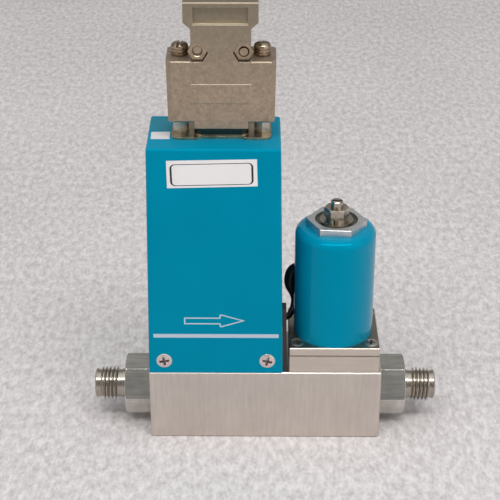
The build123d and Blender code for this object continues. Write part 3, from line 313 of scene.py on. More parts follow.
blockSteel = groundSteel("blockSteel", rgb(0.77, 0.7, 0.64), rgb(0.53, 0.475, 0.43), 0.36, (900, 900, 60))
valveSteel = groundSteel("valveSteel", rgb(0.75, 0.67, 0.595), rgb(0.56, 0.5, 0.435), 0.34, (80, 900, 900),
                         edge=0.0, jointShades=((31.7, 0.34), (25.4, 0.3)), darkTopReflection=rgb(0.3, 0.27, 0.22))
fittingSteel = groundSteel("fittingSteel", rgb(0.9, 0.87, 0.81), rgb(0.38, 0.37, 0.34), 0.2, (60, 1200, 1200),
                           cloud=0.5, edge=0.9, neck=rgb(0.34, 0.29, 0.235))
coverTeal = tealPaint("coverTeal", rgb(0.0, 0.243, 0.388), rgb(0.0, 0.223, 0.358), 0.42, 0.14, 0.006)
capTeal = tealPaint("capTeal", rgb(0.0, 0.232, 0.372), rgb(0.0, 0.224, 0.358), 0.13, 0.6, 0.003)
hoodNickel = dieCast("hoodNickel", rgb(0.54, 0.425, 0.325), rgb(0.3, 0.24, 0.18))
hoodFixing = turnedMetal("hoodFixing", rgb(0.6, 0.49, 0.36), rgb(0.22, 0.165, 0.11), 0.17)
postSteel = turnedMetal("postSteel", rgb(0.62, 0.6, 0.54), rgb(0.36, 0.33, 0.28), 0.2)
yellowChromate = chromate("yellowChromate")
brightScrew = turnedMetal("brightScrew", rgb(0.86, 0.79, 0.77), rgb(0.66, 0.58, 0.56), 0.3)
smallScrew = turnedMetal("smallScrew", rgb(0.6, 0.56, 0.5), rgb(0.36, 0.33, 0.29), 0.28)
nutAluminium = turnedMetal("nutAluminium", rgb(0.76, 0.765, 0.77), rgb(0.55, 0.555, 0.565), 0.38)
stemSteel = turnedMetal("stemSteel", rgb(0.72, 0.65, 0.56), rgb(0.3, 0.265, 0.22), 0.2)
sootySteel = turnedMetal("sootySteel", rgb(0.24, 0.225, 0.19), rgb(0.13, 0.12, 0.1), 0.3)
innerSteel = turnedMetal("innerSteel", rgb(0.66, 0.65, 0.63), rgb(0.48, 0.47, 0.46), 0.25)
sheetAluminium = turnedMetal("sheetAluminium", rgb(0.8, 0.81, 0.82), rgb(0.66, 0.67, 0.68), 0.34)
contactGold = turnedMetal("contactGold", rgb(0.9, 0.66, 0.28), rgb(0.72, 0.5, 0.18), 0.2)
blackPlastic = plastic("blackPlastic", rgb(0.012, 0.012, 0.013), rgb(0.05, 0.05, 0.052), 0.4)
blackRubber = plastic("blackRubber", rgb(0.008, 0.008, 0.009), rgb(0.035, 0.035, 0.036), 0.52, 1500)
leadBlack = plastic("leadBlack", rgb(0.006, 0.006, 0.007), rgb(0.03, 0.03, 0.031), 0.36, 1100, 0.02)
trimmerBlue = plastic("trimmerBlue", rgb(0.03, 0.1, 0.36), rgb(0.08, 0.16, 0.42), 0.35)
seatDisc = plastic("seatDisc", rgb(0.8, 0.79, 0.74), rgb(0.66, 0.64, 0.58), 0.45)
boardGreen = laminate("boardGreen")
coilCopper = woundCopper("coilCopper", 0.3, "Z")
sensorCopper = woundCopper("sensorCopper", 0.12, "X")
labelPaper = paper("labelPaper", rgb(0.8, 0.79, 0.8), rgb(0.7, 0.685, 0.69))
roofPaper = paper("roofPaper", rgb(0.66, 0.65, 0.66), rgb(0.55, 0.53, 0.53))
roofFilm = paper("roofFilm", rgb(0.001, 0.215, 0.32), rgb(0.003, 0.16, 0.24))
blackInk = ink("blackInk", rgb(0.012, 0.011, 0.013), rgb(0.05, 0.045, 0.05))
whiteInk = ink("whiteInk", rgb(0.47, 0.56, 0.66), rgb(0.3, 0.44, 0.56))
print("finishes made")

finishOf = {
    blockSteel: ["base_block"],
    valveSteel: ["valve_body", "valve_flange"],
    fittingSteel: ["inlet_fitting", "outlet_fitting"],
    coverTeal: ["cover"],
    capTeal: ["valve_cap"],
    hoodNickel: ["hood_front_shell", "hood_rear_shell"],
    hoodFixing: ["hood_screws", "hood_nuts", "jackscrews"],
    postSteel: ["jack_posts", "jack_nuts"],
    yellowChromate: ["receptacle_shell", "plug_shell"],
    brightScrew: ["cover_screws", "bracket_screws", "board_screws"],
    smallScrew: ["flange_screws"],
    nutAluminium: ["cap_nut", "flat_washer"],
    stemSteel: ["lock_washer", "lock_nut", "adjusting_stem"],
    sootySteel: ["guide_tube", "pole_piece"],
    innerSteel: ["flow_restrictor", "sensor_tube", "sensor_screws", "valve_seat", "plunger", "plunger_spring"],
    sheetAluminium: ["chassis_bracket", "sensor_base", "sensor_case", "capacitors"],
    contactGold: ["receptacle_pins", "plug_contacts"],
    blackPlastic: ["receptacle_insulator", "plug_insulator", "coil_bobbin", "board_chips", "lead_guard"],
    blackRubber: ["inlet_seal", "outlet_seal", "sensor_seals", "valve_seal", "lead_grommet"],
    leadBlack: ["valve_lead"],
    trimmerBlue: ["trimmers"],
    seatDisc: ["plunger_seal"],
    boardGreen: ["main_board"],
    coilCopper: ["coil_winding"],
    sensorCopper: ["upstream_winding", "downstream_winding"],
}
for material, names in finishOf.items():
    for name in names:
        mesh = nodes[name].data
        mesh.materials.clear()
        mesh.materials.append(material)


# mesh helpers, all lengths in mm
def pieceFrom(name, mesh, material, slotName, replaced=()):
    piece = bpy.data.objects.new(name, mesh)
    bpy.context.collection.objects.link(piece)
    mesh.materials.clear()
    mesh.materials.append(material)
    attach(piece, rootBody)
    if replaced:
        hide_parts(*replaced)
    return piece


def meshFrom(name, points, faces):
    mesh = bpy.data.meshes.new(name)
    mesh.from_pydata([tuple(c * mm for c in p) for p in points], [], faces)
    shell = bmesh.new()
    shell.from_mesh(mesh)
    bmesh.ops.recalc_face_normals(shell, faces=shell.faces)
    shell.to_mesh(mesh)
    shell.free()
    return mesh


def slab(name, outline, place, thickness):  # closed plate; place turns (u, v, height) into x, y, z
    count = len(outline)
    points = [place(u, v, 0) for u, v in outline] + [place(u, v, thickness) for u, v in outline]
    faces = [tuple(range(count)), tuple(range(2 * count - 1, count - 1, -1))]
    faces += [(i, (i + 1) % count, count + (i + 1) % count, count + i) for i in range(count)]
    return meshFrom(name, points, faces)


def band(name, outer, inner, place, low, high):  # closed ring between two outlines of equal count
    count = len(outer)
    points = [place(u, v, h) for h in (low, high) for loop in (outer, inner) for u, v in loop]
    faces = []
    for i in range(count):
        j = (i + 1) % count
        for a, b in ((0, 1), (1, 3), (3, 2), (2, 0)):
            faces.append((a * count + i, a * count + j, b * count + j, b * count + i))
    return meshFrom(name, points, faces)


def joined(name, meshes):
    shell = bmesh.new()
    for mesh in meshes:
        shell.from_mesh(mesh)
    made = bpy.data.meshes.new(name)
    shell.to_mesh(made)
    shell.free()
    return made


def circle(radius, steps):
    angles = [2 * math.pi * i / steps for i in range(steps)]
    return [(radius * math.cos(angle), radius * math.sin(angle)) for angle in angles]


def roundedBox(left, bottom, right, top, radius, steps=6):
    loop = []
    for cx, cy, start in ((right - radius, top - radius, 0), (left + radius, top - radius, 90),
                          (left + radius, bottom + radius, 180), (right - radius, bottom + radius, 270)):
        for i in range(steps + 1):
            angle = math.radians(start + 90 * i / steps)
            loop.append((cx + radius * math.cos(angle), cy + radius * math.sin(angle)))
    return loop


def evaluatedMesh(item, name):
    graph = bpy.context.evaluated_depsgraph_get()
    made = bpy.data.meshes.new_from_object(item.evaluated_get(graph))
    made.name = name
    return made


def shadeByAngle(mesh, degrees=35):
    shell = bmesh.new()
    shell.from_mesh(mesh)
    bmesh.ops.remove_doubles(shell, verts=shell.verts, dist=0.001 * mm)
    for face in shell.faces:
        face.smooth = True
    for edge in shell.edges:
        if len(edge.link_faces) == 2:
            edge.smooth = edge.calc_face_angle(0) < math.radians(degrees)
    shell.to_mesh(mesh)
    shell.free()


def cadCopy(nodeName, name):
    mesh = nodes[nodeName].data.copy()
    mesh.name = name
    shell = bmesh.new()
    shell.from_mesh(mesh)
    bmesh.ops.remove_doubles(shell, verts=shell.verts, dist=0.0005 * mm)
    shell.to_mesh(mesh)
    shell.free()
    return mesh


def cut(mesh, cutterMesh, name):
    target = bpy.data.objects.new("cutTarget", mesh)
    cutter = bpy.data.objects.new("cutTool", cutterMesh)
    for item in (target, cutter):
        bpy.context.collection.objects.link(item)
    modifier = target.modifiers.new("cut", "BOOLEAN")
    modifier.object = cutter
    modifier.operation = "DIFFERENCE"
    modifier.solver = "EXACT"
    made = evaluatedMesh(target, name)
    for item in (target, cutter):
        bpy.data.objects.remove(item)
    return made


def grownBy(tree, inputs, name):  # runs a geometry tree once and keeps the plain mesh
    seed = bpy.data.objects.new("seed", bpy.data.meshes.new("seed"))
    bpy.context.collection.objects.link(seed)
    modifier = seed.modifiers.new("grow", "NODES")
    modifier.node_group = tree
    for item in tree.interface.items_tree:
        if item.item_type == "SOCKET" and item.in_out == "INPUT" and item.name in inputs:
            modifier[item.identifier] = inputs[item.name]
    made = evaluatedMesh(seed, name)
    seed.modifiers.clear()
    bpy.data.objects.remove(seed)
    return made


def growthTree(name, inputs):
    group = bpy.data.node_groups.new(name, "GeometryNodeTree")
    group.interface.new_socket("Geometry", in_out="INPUT", socket_type="NodeSocketGeometry")
    for key, value in inputs.items():
        kind = {float: "NodeSocketFloat", int: "NodeSocketInt"}.get(type(value), "NodeSocketObject")
        socket = group.interface.new_socket(key, in_out="INPUT", socket_type=kind)
        if kind != "NodeSocketObject":
            socket.default_value = value
    group.interface.new_socket("Geometry", in_out="OUTPUT", socket_type="NodeSocketGeometry")
    tree = Tree(group)
    entry = group.nodes.new("NodeGroupInput")
    wires = {key: Wire(tree, entry.outputs[key]) for key in inputs}
    return group, tree, wires


def endTree(group, tree, geometry, material):
    whole = tree.node("GeometryNodeRealizeInstances", {}, {0: geometry})
    painted = tree.node("GeometryNodeSetMaterial", {}, {"Geometry": whole, "Material": material})
    result = group.nodes.new("NodeGroupOutput")
    group.links.new(painted.socket, result.inputs["Geometry"])
    return group


# tube fittings: the CAD body with its plain thread turned down, and a real thread grown on it
thread = {"pitch": 1.27, "root": 4.62, "crest": 5.55, "length": 6.1, "start": 1.9, "around": 144, "along": 110,
          "rootFlat": 0.3, "crestFlat": 0.08, "fade": 0.35, "tip": 57.25, "axisHeight": 12.7,
          "cutBeyond": (1.2, 1.0), "cutOver": 2.0, "cutSkin": 0.02}


def threadTree(material):
    group, tree, size = growthTree("threadForm", {"Pitch": 1.0, "Root": 1.0, "Crest": 1.0, "Length": 1.0,
                                                  "Around": 64, "Along": 64})
    grid = tree.node("GeometryNodeMeshGrid", {}, {"Size X": 1.0, "Size Y": 1.0, "Vertices X": size["Around"],
                                                  "Vertices Y": size["Along"]})
    here = tree.node("GeometryNodeInputPosition")
    u = tree.node("ShaderNodeSeparateXYZ", {}, {0: here}, out=0) + 0.5
    v = tree.node("ShaderNodeSeparateXYZ", {}, {0: here}, out=1) + 0.5
    along = v * size["Length"]
    turns = along / size["Pitch"] + u
    ridge = turns.math("PINGPONG", 0.5) * 2
    form = ridge.between(thread["rootFlat"], 1 - thread["crestFlat"])
    runIn = (along / (size["Pitch"] * thread["fade"])).clamped()
    runOut = ((size["Length"] - along) / (size["Pitch"] * thread["fade"])).clamped()
    radius = size["Root"] + (size["Crest"] - size["Root"]) * form * runIn * runOut
    angle = u * (2 * math.pi)
    place = tree.node("ShaderNodeCombineXYZ", {}, {0: along, 1: radius * angle.math("COSINE"),
                                                   2: radius * angle.math("SINE")})
    moved = tree.node("GeometryNodeSetPosition", {}, {"Geometry": grid, "Position": place})
    welded = tree.node("GeometryNodeMergeByDistance", {}, {"Geometry": moved, "Distance": 0.0001 * mm})
    return endTree(group, tree, welded, material)


def threadMesh(side):
    group = threadTree(fittingSteel)
    grown = grownBy(group, {"Pitch": thread["pitch"] * mm, "Root": thread["root"] * mm,
                            "Crest": thread["crest"] * mm, "Length": thread["length"] * mm,
                            "Around": thread["around"] + 1, "Along": thread["along"]}, "threadShell")
    shell = bmesh.new()
    shell.from_mesh(grown)
    rims = [edge for edge in shell.edges if edge.is_boundary]
    bmesh.ops.holes_fill(shell, edges=rims, sides=0)  # the ends close inside the neck
    end = thread["tip"] - thread["start"]
    foot = Vector((side * end, 0, thread["axisHeight"])) * mm
    turnRound = Matrix.Rotation(math.pi if side > 0 else 0, 4, "Z")
    bmesh.ops.transform(shell, matrix=Matrix.Translation(foot) @ turnRound, verts=shell.verts)
    bmesh.ops.recalc_face_normals(shell, faces=shell.faces)
    shell.to_mesh(grown)
    shell.free()
    return grown


def threadCutter(side):
    low = thread["tip"] - thread["start"] - thread["length"] - thread["cutBeyond"][0]
    high = thread["tip"] - thread["start"] + thread["cutBeyond"][1]
    outer = circle(thread["crest"] + thread["cutOver"], 96)
    inner = circle(thread["root"] + thread["cutSkin"], 96)
    return band("threadCutter", outer, inner, lambda u, v, h: (side * h, u, thread["axisHeight"] + v), low, high)


for side, nodeName in ((-1, "inlet_fitting"), (1, "outlet_fitting")):
    body = cut(cadCopy(nodeName, "fittingBody"), threadCutter(side), "turnedDown")
    whole = joined(nodeName + "_threaded", [body, threadMesh(side)])
    shadeByAngle(whole, 32)
    pieceFrom(nodeName + "_threaded", whole, fittingSteel, "fitting_steel", [nodeName])
print("fittings threaded")


# screw heads: one turned head with a tapered cross recess, set out by a geometry tree
def turnedMesh(name, profile, steps):
    points, rings, faces = [], [], []
    for radius, along in profile:
        if radius == 0:
            rings.append([len(points)])
            points.append((0, 0, along))
        else:
            rings.append(list(range(len(points), len(points) + steps)))
            points += [(u, v, along) for u, v in circle(radius, steps)]
    for low, high in zip(rings, rings[1:]):
        for i in range(steps):
            j = (i + 1) % steps
            face = {low[i % len(low)], low[j % len(low)], high[j % len(high)], high[i % len(high)]}
            if len(face) == 4:
                faces.append((low[i], low[j], high[j], high[i]))
            elif len(low) == 1:
                faces.append((low[0], high[j], high[i]))
            else:
                faces.append((low[i], low[j], high[0]))
    return meshFrom(name, points, faces)


def crossCutter(top, bottom, wingTop, wingBottom, halfTop, halfBottom):
    def star(wing, half, height):
        turn = [(half, half), (half, wing), (-half, wing), (-half, half), (-wing, half), (-wing, -half),
                (-half, -half), (-half, -wing), (half, -wing), (half, -half), (wing, -half), (wing, half)]
        return [(x, y, height) for x, y in turn]
    points = star(wingTop, halfTop, top) + star(wingBottom, halfBottom, bottom)
    faces = [tuple(range(12)), tuple(range(23, 11, -1))]
    faces += [(i, (i + 1) % 12, 12 + (i + 1) % 12, 12 + i) for i in range(12)]
    return meshFrom("crossCutter", points, faces)


def settingTree(material):  # the head object on every point, turned by the point's own turn
    group, tree, size = growthTree("setOut", {"Head": None, "Count": 4, "Spacing X": 1.0, "Spacing Y": 1.0})
    index = tree.node("GeometryNodeInputIndex")
    row = index.math("MODULO", 2.0)
    column = (index / 2).math("FLOOR")
    points = tree.node("GeometryNodePoints", {}, {"Count": size["Count"]})
    spread = tree.node("ShaderNodeCombineXYZ", {}, {0: (row - 0.5) * size["Spacing X"],
                                                    1: (column - 0.5) * size["Spacing Y"], 2: 0.0})
    placed = tree.node("GeometryNodeSetPosition", {}, {"Geometry": points, "Position": spread})
    head = tree.node("GeometryNodeObjectInfo", {}, {"Object": size["Head"]}, out="Geometry")
    twist = tree.node("FunctionNodeRandomValue", {"data_type": "FLOAT"},
                      {2: -0.3, 3: 0.35, "ID": index, "Seed": 4}, out=1)
    turn = tree.node("ShaderNodeCombineXYZ", {}, {0: 0.0, 1: 0.0, 2: twist})
    heads = tree.node("GeometryNodeInstanceOnPoints", {}, {"Points": placed, "Instance": head, "Rotation": turn})
    return endTree(group, tree, heads, material)


def setScrews(name, spec, material, slotName, nodeName, stands):
    blank = turnedMesh("screwBlank", spec["profile"], 64)
    head = bpy.data.objects.new("screwHead", cut(blank, crossCutter(*spec["cross"]), "screwCut"))
    bpy.context.collection.objects.link(head)
    group = settingTree(material)
    parts = []
    for stand in stands:  # each stand is a matrix in mm, with its own count and spacing
        grown = grownBy(group, {"Head": head, "Count": stand["count"], "Spacing X": stand["spacing"][0] * mm,
                                "Spacing Y": stand["spacing"][1] * mm}, "screwSet")
        grown.transform(Matrix.Translation(Vector(stand["place"]) * mm) @ stand["turn"].to_4x4())
        parts.append(grown)
    bpy.data.objects.remove(head)
    whole = joined(name, parts)
    shadeByAngle(whole, 40)
    return pieceFrom(name, whole, material, slotName, [nodeName])


coverScrew = {
    "profile": [(0, -3.8), (1.3, -3.8), (1.5, -3.6), (1.5, -1.1), (2.5, -0.1), (2.58, 0.0), (2.52, 0.08),
                (2.1, 0.22), (1.5, 0.33), (0.8, 0.4), (0, 0.41)],
    "cross": (0.9, -2.1, 1.72, 1.3, 0.46, 0.4), "spacing": 33.6, "height": 29.9, "centre": -16.2, "face": 13.4,
}
flangeScrew = {
    "profile": [(0, -14.0), (1.3, -14.0), (1.5, -13.8), (1.5, -0.85), (2.28, -0.06), (2.33, 0.0), (2.2, 0.07),
                (1.6, 0.19), (0.8, 0.24), (0, 0.25)],
    "cross": (0.6, -1.7, 1.5, 1.1, 0.4, 0.34), "spacing": (24.2, 19.0), "top": 34.7, "centre": 22.5,
}
frontTurn = Matrix.Rotation(math.pi / 2, 3, "X")  # a head that looks up now looks to the front
rearTurn = Matrix.Rotation(-math.pi / 2, 3, "X")
setScrews("cover_screw_heads", coverScrew, brightScrew, "plated_screws", "cover_screws", [
    {"count": 2, "spacing": (coverScrew["spacing"], 0), "turn": turn,
     "place": (coverScrew["centre"], side * coverScrew["face"], coverScrew["height"])}
    for side, turn in ((-1, frontTurn), (1, rearTurn))])
setScrews("flange_screw_heads", flangeScrew, smallScrew, "plated_screws", "flange_screws", [
    {"count": 4, "spacing": flangeScrew["spacing"], "turn": Matrix.Identity(3),
     "place": (flangeScrew["centre"], 0, flangeScrew["top"])}])
print("screws set")


# connector hood: the CAD shells with wider flanks and deeper nut pockets
hood = {  # pairs give the solids' value and the photo's
    "centre": -13.96, "shift": 0.1, "face": 7.0,
    "flanks": [(0, 0), (8.9, 9.0), (10.9, 11.2), (15.45, 16.2), (17.0, 17.8)],
    "rim": (111.95, 111.05), "rimAbove": 0.7, "rimBelow": 0.4, "rimReach": 113.6,
    "tongueHalf": (7.65, 8.2), "tongueEnd": (110.0, 109.1), "slotTop": (113.35, 112.57), "slotCorner": 14.9,
    "plate": (6.75, 7.2), "plateHeights": (116, 125), "plateHalf": 9.2,
    "field": (-8.3, 142.0, 8.3, 147.4), "fieldDepth": 1.4, "screwOffset": 6.95, "screwHeight": 133.3,
    "pocketAcross": 5.75, "pocketDepth": 2.6, "nutAcross": 5.1, "nutTop": 5.5, "nutFoot": 4.4,
    "nutBore": [(0, -4.0), (1.5, -4.0), (1.5, -5.35), (1.9, -5.7), (0, -5.7)],
}


def alongPath(value, pairs):  # straight steps between given pairs
    for (a, fa), (b, fb) in zip(pairs, pairs[1:]):
        if value <= b:
            return fa + (fb - fa) * (value - a) / (b - a)
    return pairs[-1][1]


def reshaped(nodeName, rule):
    mesh = cadCopy(nodeName, nodeName + "_copy")
    for vertex in mesh.vertices:
        vertex.co = Vector(rule(*(vertex.co * 1000))) * mm
    return mesh


def hoodRule(x, y, z):
    across = x - hood["centre"]
    side = 1 if across > 0 else -1
    (rim, rimNow), (tongue, tongueNow), reach = hood["rim"], hood["tongueHalf"], hood["rimReach"]
    onTongue = abs(abs(across) - tongue) < 0.05
    if onTongue and (z < hood["tongueEnd"][0] or abs(z - rim) < hood["rimAbove"]):
        across = side * tongueNow
    elif z >= hood["tongueEnd"][0]:
        across = side * alongPath(abs(across), hood["flanks"])
    if abs(z - hood["slotTop"][0]) < 0.01 and abs(across) > hood["slotCorner"]:
        z = hood["slotTop"][1]  # the flange slot closes where it would show at the corner
    if z < hood["tongueEnd"][0]:
        z = hood["tongueEnd"][1]
    elif rim - hood["rimBelow"] < z < reach:  # the skirt's rim comes down, the wall above it stretches
        z = reach - (reach - z) * (reach - rimNow) / (reach - rim)
    low, high = hood["plateHeights"]
    if abs(abs(y) - hood["plate"][0]) < 0.01 and low < z < high and abs(across) < hood["plateHalf"]:
        y *= hood["plate"][1] / hood["plate"][0]  # the lower plate stands out a little
    return hood["centre"] + hood["shift"] + across, y, z


def hexPrism(name, centreX, centreZ, acrossFlats, near, far):
    corner = acrossFlats / math.sqrt(3)
    loop = [(centreX + u, centreZ + v) for u, v in circle(corner, 6)]
    return slab(name, loop, lambda u, v, h: (u, near + h, v), far - near)


frontHood = reshaped("hood_front_shell", hoodRule)
nuts = []
for side in (-1, 1):
    x, z = hood["centre"] + side * hood["screwOffset"], hood["screwHeight"]
    pocket = hexPrism("pocket", x, z, hood["pocketAcross"], -hood["face"] - 1, -hood["face"] + hood["pocketDepth"])
    frontHood = cut(frontHood, pocket, "frontHood")
    bore = turnedMesh("nutBore", hood["nutBore"], 40)
    bore.transform(Matrix.Translation(Vector((x, 0, z)) * mm) @ Matrix.Rotation(-math.pi / 2, 4, "X"))
    nut = hexPrism("nut", x, z, hood["nutAcross"], -hood["nutTop"], -hood["nutFoot"])
    nuts.append(cut(nut, bore, "nutBored"))
left, low, right, high = hood["field"]
field = slab("field", [(left, low), (right, low), (right, high), (left, high)],
             lambda u, v, h: (hood["centre"] + u, h - hood["face"] - 1, v), 1 + hood["fieldDepth"])
frontHood = cut(frontHood, field, "frontHood")
for name, mesh, material, slotName, nodeName in (
        ("hood_front_cast", frontHood, hoodNickel, "hood_casting", "hood_front_shell"),
        ("hood_rear_cast", reshaped("hood_rear_shell", hoodRule), hoodNickel, "hood_casting", "hood_rear_shell"),
        ("hood_nuts_cut", joined("hood_nuts_cut", nuts), hoodFixing, "hood_fixings", "hood_nuts")):
    shadeByAngle(mesh, 30)
    pieceFrom(name, mesh, material, slotName, [nodeName])


# jackscrews with domed, grooved and slotted heads
jackscrew = {"spread": 12.495, "foot": 107.35, "slotTurns": (78, 12), "slotHalf": (3.5, 0.425), "slotFloor": 26.0,
             "profile": [(0, 0), (1.42, 0), (1.42, 23.55), (2.6, 23.55), (2.6, 24.2), (2.3, 24.32), (2.3, 24.55),
                         (2.65, 24.67), (2.65, 25.15), (2.38, 25.28), (2.38, 25.5), (2.65, 25.62), (2.62, 26.0),
                         (2.4, 26.5), (2.0, 26.83), (1.3, 27.05), (0, 27.12)]}
heads = []
for side, turn in zip((-1, 1), jackscrew["slotTurns"]):
    x = hood["centre"] + side * jackscrew["spread"]
    screw = turnedMesh("jackscrew", jackscrew["profile"], 64)
    u, v = jackscrew["slotHalf"]
    slot = slab("slot", [(-u, -v), (u, -v), (u, v), (-u, v)],
                lambda u, v, h: (u, v, jackscrew["slotFloor"] + h), 2.0)
    slot.transform(Matrix.Rotation(math.radians(turn), 4, "Z"))
    screw = cut(screw, slot, "jackscrewSlotted")
    screw.transform(Matrix.Translation(Vector((x, 0, jackscrew["foot"])) * mm))
    heads.append(screw)
jackscrews = joined("jackscrews_turned", heads)
shadeByAngle(jackscrews, 35)
pieceFrom("jackscrews_turned", jackscrews, hoodFixing, "hood_fixings", ["jackscrews"])


# socket flange cut back between its two ears
ears = {"half": 7.1, "front": 5.25, "back": 6.8, "low": 104.5, "high": 106.5, "corner": 0.5}
socketShell = cadCopy("receptacle_shell", "socketShell")
for side in (-1, 1):
    near, far = sorted((side * ears["front"], side * ears["back"]))
    loop = roundedBox(hood["centre"] - ears["half"], near, hood["centre"] + ears["half"], far, ears["corner"])
    socketShell = cut(socketShell, slab("earCut", loop, lambda u, v, h: (u, v, ears["low"] + h),
                                        ears["high"] - ears["low"]), "socketShell")
shadeByAngle(socketShell, 30)
pieceFrom("receptacle_shell_eared", socketShell, yellowChromate, "shell_chromate", ["receptacle_shell"])


# cap, nut, washer and guard strip, trimmed to the photo's outline
valve = {"x": 22.5, "capShift": -0.12, "capScale": 1.018, "nutScale": 0.975, "washerScale": 1.25,
         "guardFoot": 5.3, "guardScale": 1.45}


def scaledAbout(middle, across, deep, shift=0.0):
    return lambda x, y, z: (middle + shift + (x - middle) * across, y * deep, z)


for nodeName, across, deep, shift, middle, material, slotName in (
        ("valve_cap", valve["capScale"], valve["capScale"], valve["capShift"], valve["x"], capTeal, "cap_paint"),
        ("cap_nut", valve["nutScale"], valve["nutScale"], 0, valve["x"], nutAluminium, "nut_aluminium"),
        ("flat_washer", valve["washerScale"], valve["washerScale"], 0, valve["x"], stemSteel, "plated_screws"),
        ("lead_guard", valve["guardScale"], 1, 0, valve["guardFoot"], blackPlastic, "black_plastic")):
    shaped = reshaped(nodeName, scaledAbout(middle, across, deep, shift))
    shadeByAngle(shaped, 32)
    pieceFrom(nodeName + "_formed", shaped, material, slotName, [nodeName])


# valve lead in its shrunk-on sleeve, one smooth spline with a thickness at each point
lead = {"radius": 1.1,
        "points": [(11.4, 3.2, 56.4, 1.1), (9.6, 4.2, 55.7, 1.15), (8.2, 4.9, 53.0, 1.65), (7.9, 5.2, 48.6, 1.75),
                   (9.3, 6.4, 44.4, 1.2), (9.9, 6.6, 41.4, 1.02), (9.0, 4.6, 38.4, 1.0), (7.4, 2.5, 37.3, 1.0),
                   (5.6, 2.4, 37.4, 1.0), (4.3, 2.4, 37.4, 1.0)]}
curve = bpy.data.curves.new("leadLine", "CURVE")
curve.dimensions = "3D"
curve.bevel_depth = lead["radius"] * mm
curve.bevel_resolution = 8
curve.use_fill_caps = True
spline = curve.splines.new("NURBS")
spline.points.add(len(lead["points"]) - 1)
for point, (x, y, z, thick) in zip(spline.points, lead["points"]):
    point.co = (x * mm, y * mm, z * mm, 1)
    point.radius = thick
spline.order_u = 3
spline.use_endpoint_u = True
spline.resolution_u = 12
leadItem = bpy.data.objects.new("leadItem", curve)
bpy.context.collection.objects.link(leadItem)
leadMesh = evaluatedMesh(leadItem, "valve_lead_sleeved")
bpy.data.objects.remove(leadItem)
shadeByAngle(leadMesh, 60)
pieceFrom("valve_lead_sleeved", leadMesh, leadBlack, "lead_black", ["valve_lead"])
print("hood, jackscrews, flange, cap and lead formed")


# label, arrow and line on the cover's front, and two small labels on its roof
frontPrint = {
    "face": -13.4, "paper": 0.09, "ink": 0.02, "sunk": 0.01, "stroke": 0.45,
    "label": [(-30.6, 101.25), (-30.5, 92.1), (-2.75, 92.85), (-3.0, 101.85)],
    "labelFrame": {"left": -29.55, "right": -4.05, "low": 93.15, "high": 100.4, "side": 0.62, "edge": 0.22,
                   "radius": 1.5, "innerRadius": 1.05, "tilt": 1.45},
    "arrow": [(-26.25, 46.3), (-26.25, 43.75), (-14.9, 43.75), (-14.75, 42.75), (-14.1, 42.72), (-6.6, 45.1),
              (-14.1, 47.45), (-14.75, 47.42), (-14.9, 46.3)],
    "line": [(-36.25, 40.1), (-36.25, 38.75), (4.2, 38.75), (4.2, 40.1)],
}
roofLabel = {"top": 105.0, "thick": 0.07,
             "white": [(-35.75, -0.1), (-35.65, -5.55), (-29.85, -5.5), (-29.9, 0.15)],
             "film": [(-36.2, 11.4), (-36.05, 0.9), (-29.95, 0.9), (-30.0, 11.4)]}


def onFront(u, v, height):
    return (u, frontPrint["face"] - height, v)


def onRoof(u, v, height):
    return (u, v, roofLabel["top"] + height)


def inset(outline, amount):  # moves every side of a closed outline inwards
    signed = sum(a[0] * b[1] - b[0] * a[1] for a, b in zip(outline, outline[1:] + outline[:1]))
    turn = 1 if signed > 0 else -1
    made = []
    for i, here in enumerate(outline):
        before, after = Vector(outline[i - 1]), Vector(outline[(i + 1) % len(outline)])
        here = Vector(here)
        into, away = (here - before).normalized(), (after - here).normalized()
        sideIn, sideOut = Vector((-into.y, into.x)) * turn, Vector((-away.y, away.x)) * turn
        middle = (sideIn + sideOut).normalized()
        made.append(tuple(here + middle * (amount / max(0.35, middle.dot(sideIn)))))
    return made


pieceFrom("front_label", slab("front_label", frontPrint["label"], onFront, frontPrint["paper"]),
          labelPaper, "cover_paint")
rim = frontPrint["labelFrame"]
outer = roundedBox(rim["left"], rim["low"], rim["right"], rim["high"], rim["radius"])
inner = roundedBox(rim["left"] + rim["side"], rim["low"] + rim["edge"], rim["right"] - rim["side"],
                   rim["high"] - rim["edge"], rim["innerRadius"])
middle = ((rim["left"] + rim["right"]) / 2, (rim["low"] + rim["high"]) / 2)


def tilted(loop):
    cos, sin = math.cos(math.radians(rim["tilt"])), math.sin(math.radians(rim["tilt"]))
    offsets = [(u - middle[0], v - middle[1]) for u, v in loop]
    return [(middle[0] + u * cos - v * sin, middle[1] + u * sin + v * cos) for u, v in offsets]


paperTop, inkTop, sunk = frontPrint["paper"], frontPrint["ink"], frontPrint["sunk"]
frameBand = band("label_frame", tilted(outer), tilted(inner), onFront, paperTop - sunk, paperTop + inkTop)
pieceFrom("label_frame", frameBand, blackInk, "cover_paint")
arrow = frontPrint["arrow"]
prints = joined("front_print", [
    band("arrow", arrow, inset(arrow, frontPrint["stroke"]), onFront, -sunk, inkTop),
    slab("line", frontPrint["line"], lambda u, v, h: onFront(u, v, h - sunk), inkTop + sunk),
])
pieceFrom("front_print", prints, whiteInk, "cover_paint")
for name, outline, material in (("roof_label", roofLabel["white"], roofPaper),
                                ("roof_film", roofLabel["film"], roofFilm)):
    pieceFrom(name, slab(name, outline, onRoof, roofLabel["thick"]), material, "cover_paint")
print("labels and print laid")


# floor, light and camera
setup = {
    "target": (-5.13, -0.7, 64.15), "elevation": 27.74, "azimuth": 0.24, "roll": 0.08, "distance": 461.72,
    "lens": 102.98, "floorSize": 9.0,
    "lamps": {  # azimuth, elevation, distance in m, width, height, watts
        "overhead": (2, 62, 1.0, 1.2, 0.18, 6.6),
        "frontLeft": (-52, 27, 1.3, 1.2, 1.2, 2.4),
        "frontRight": (52, 28, 1.3, 1.3, 1.3, 5.0),
    },
}


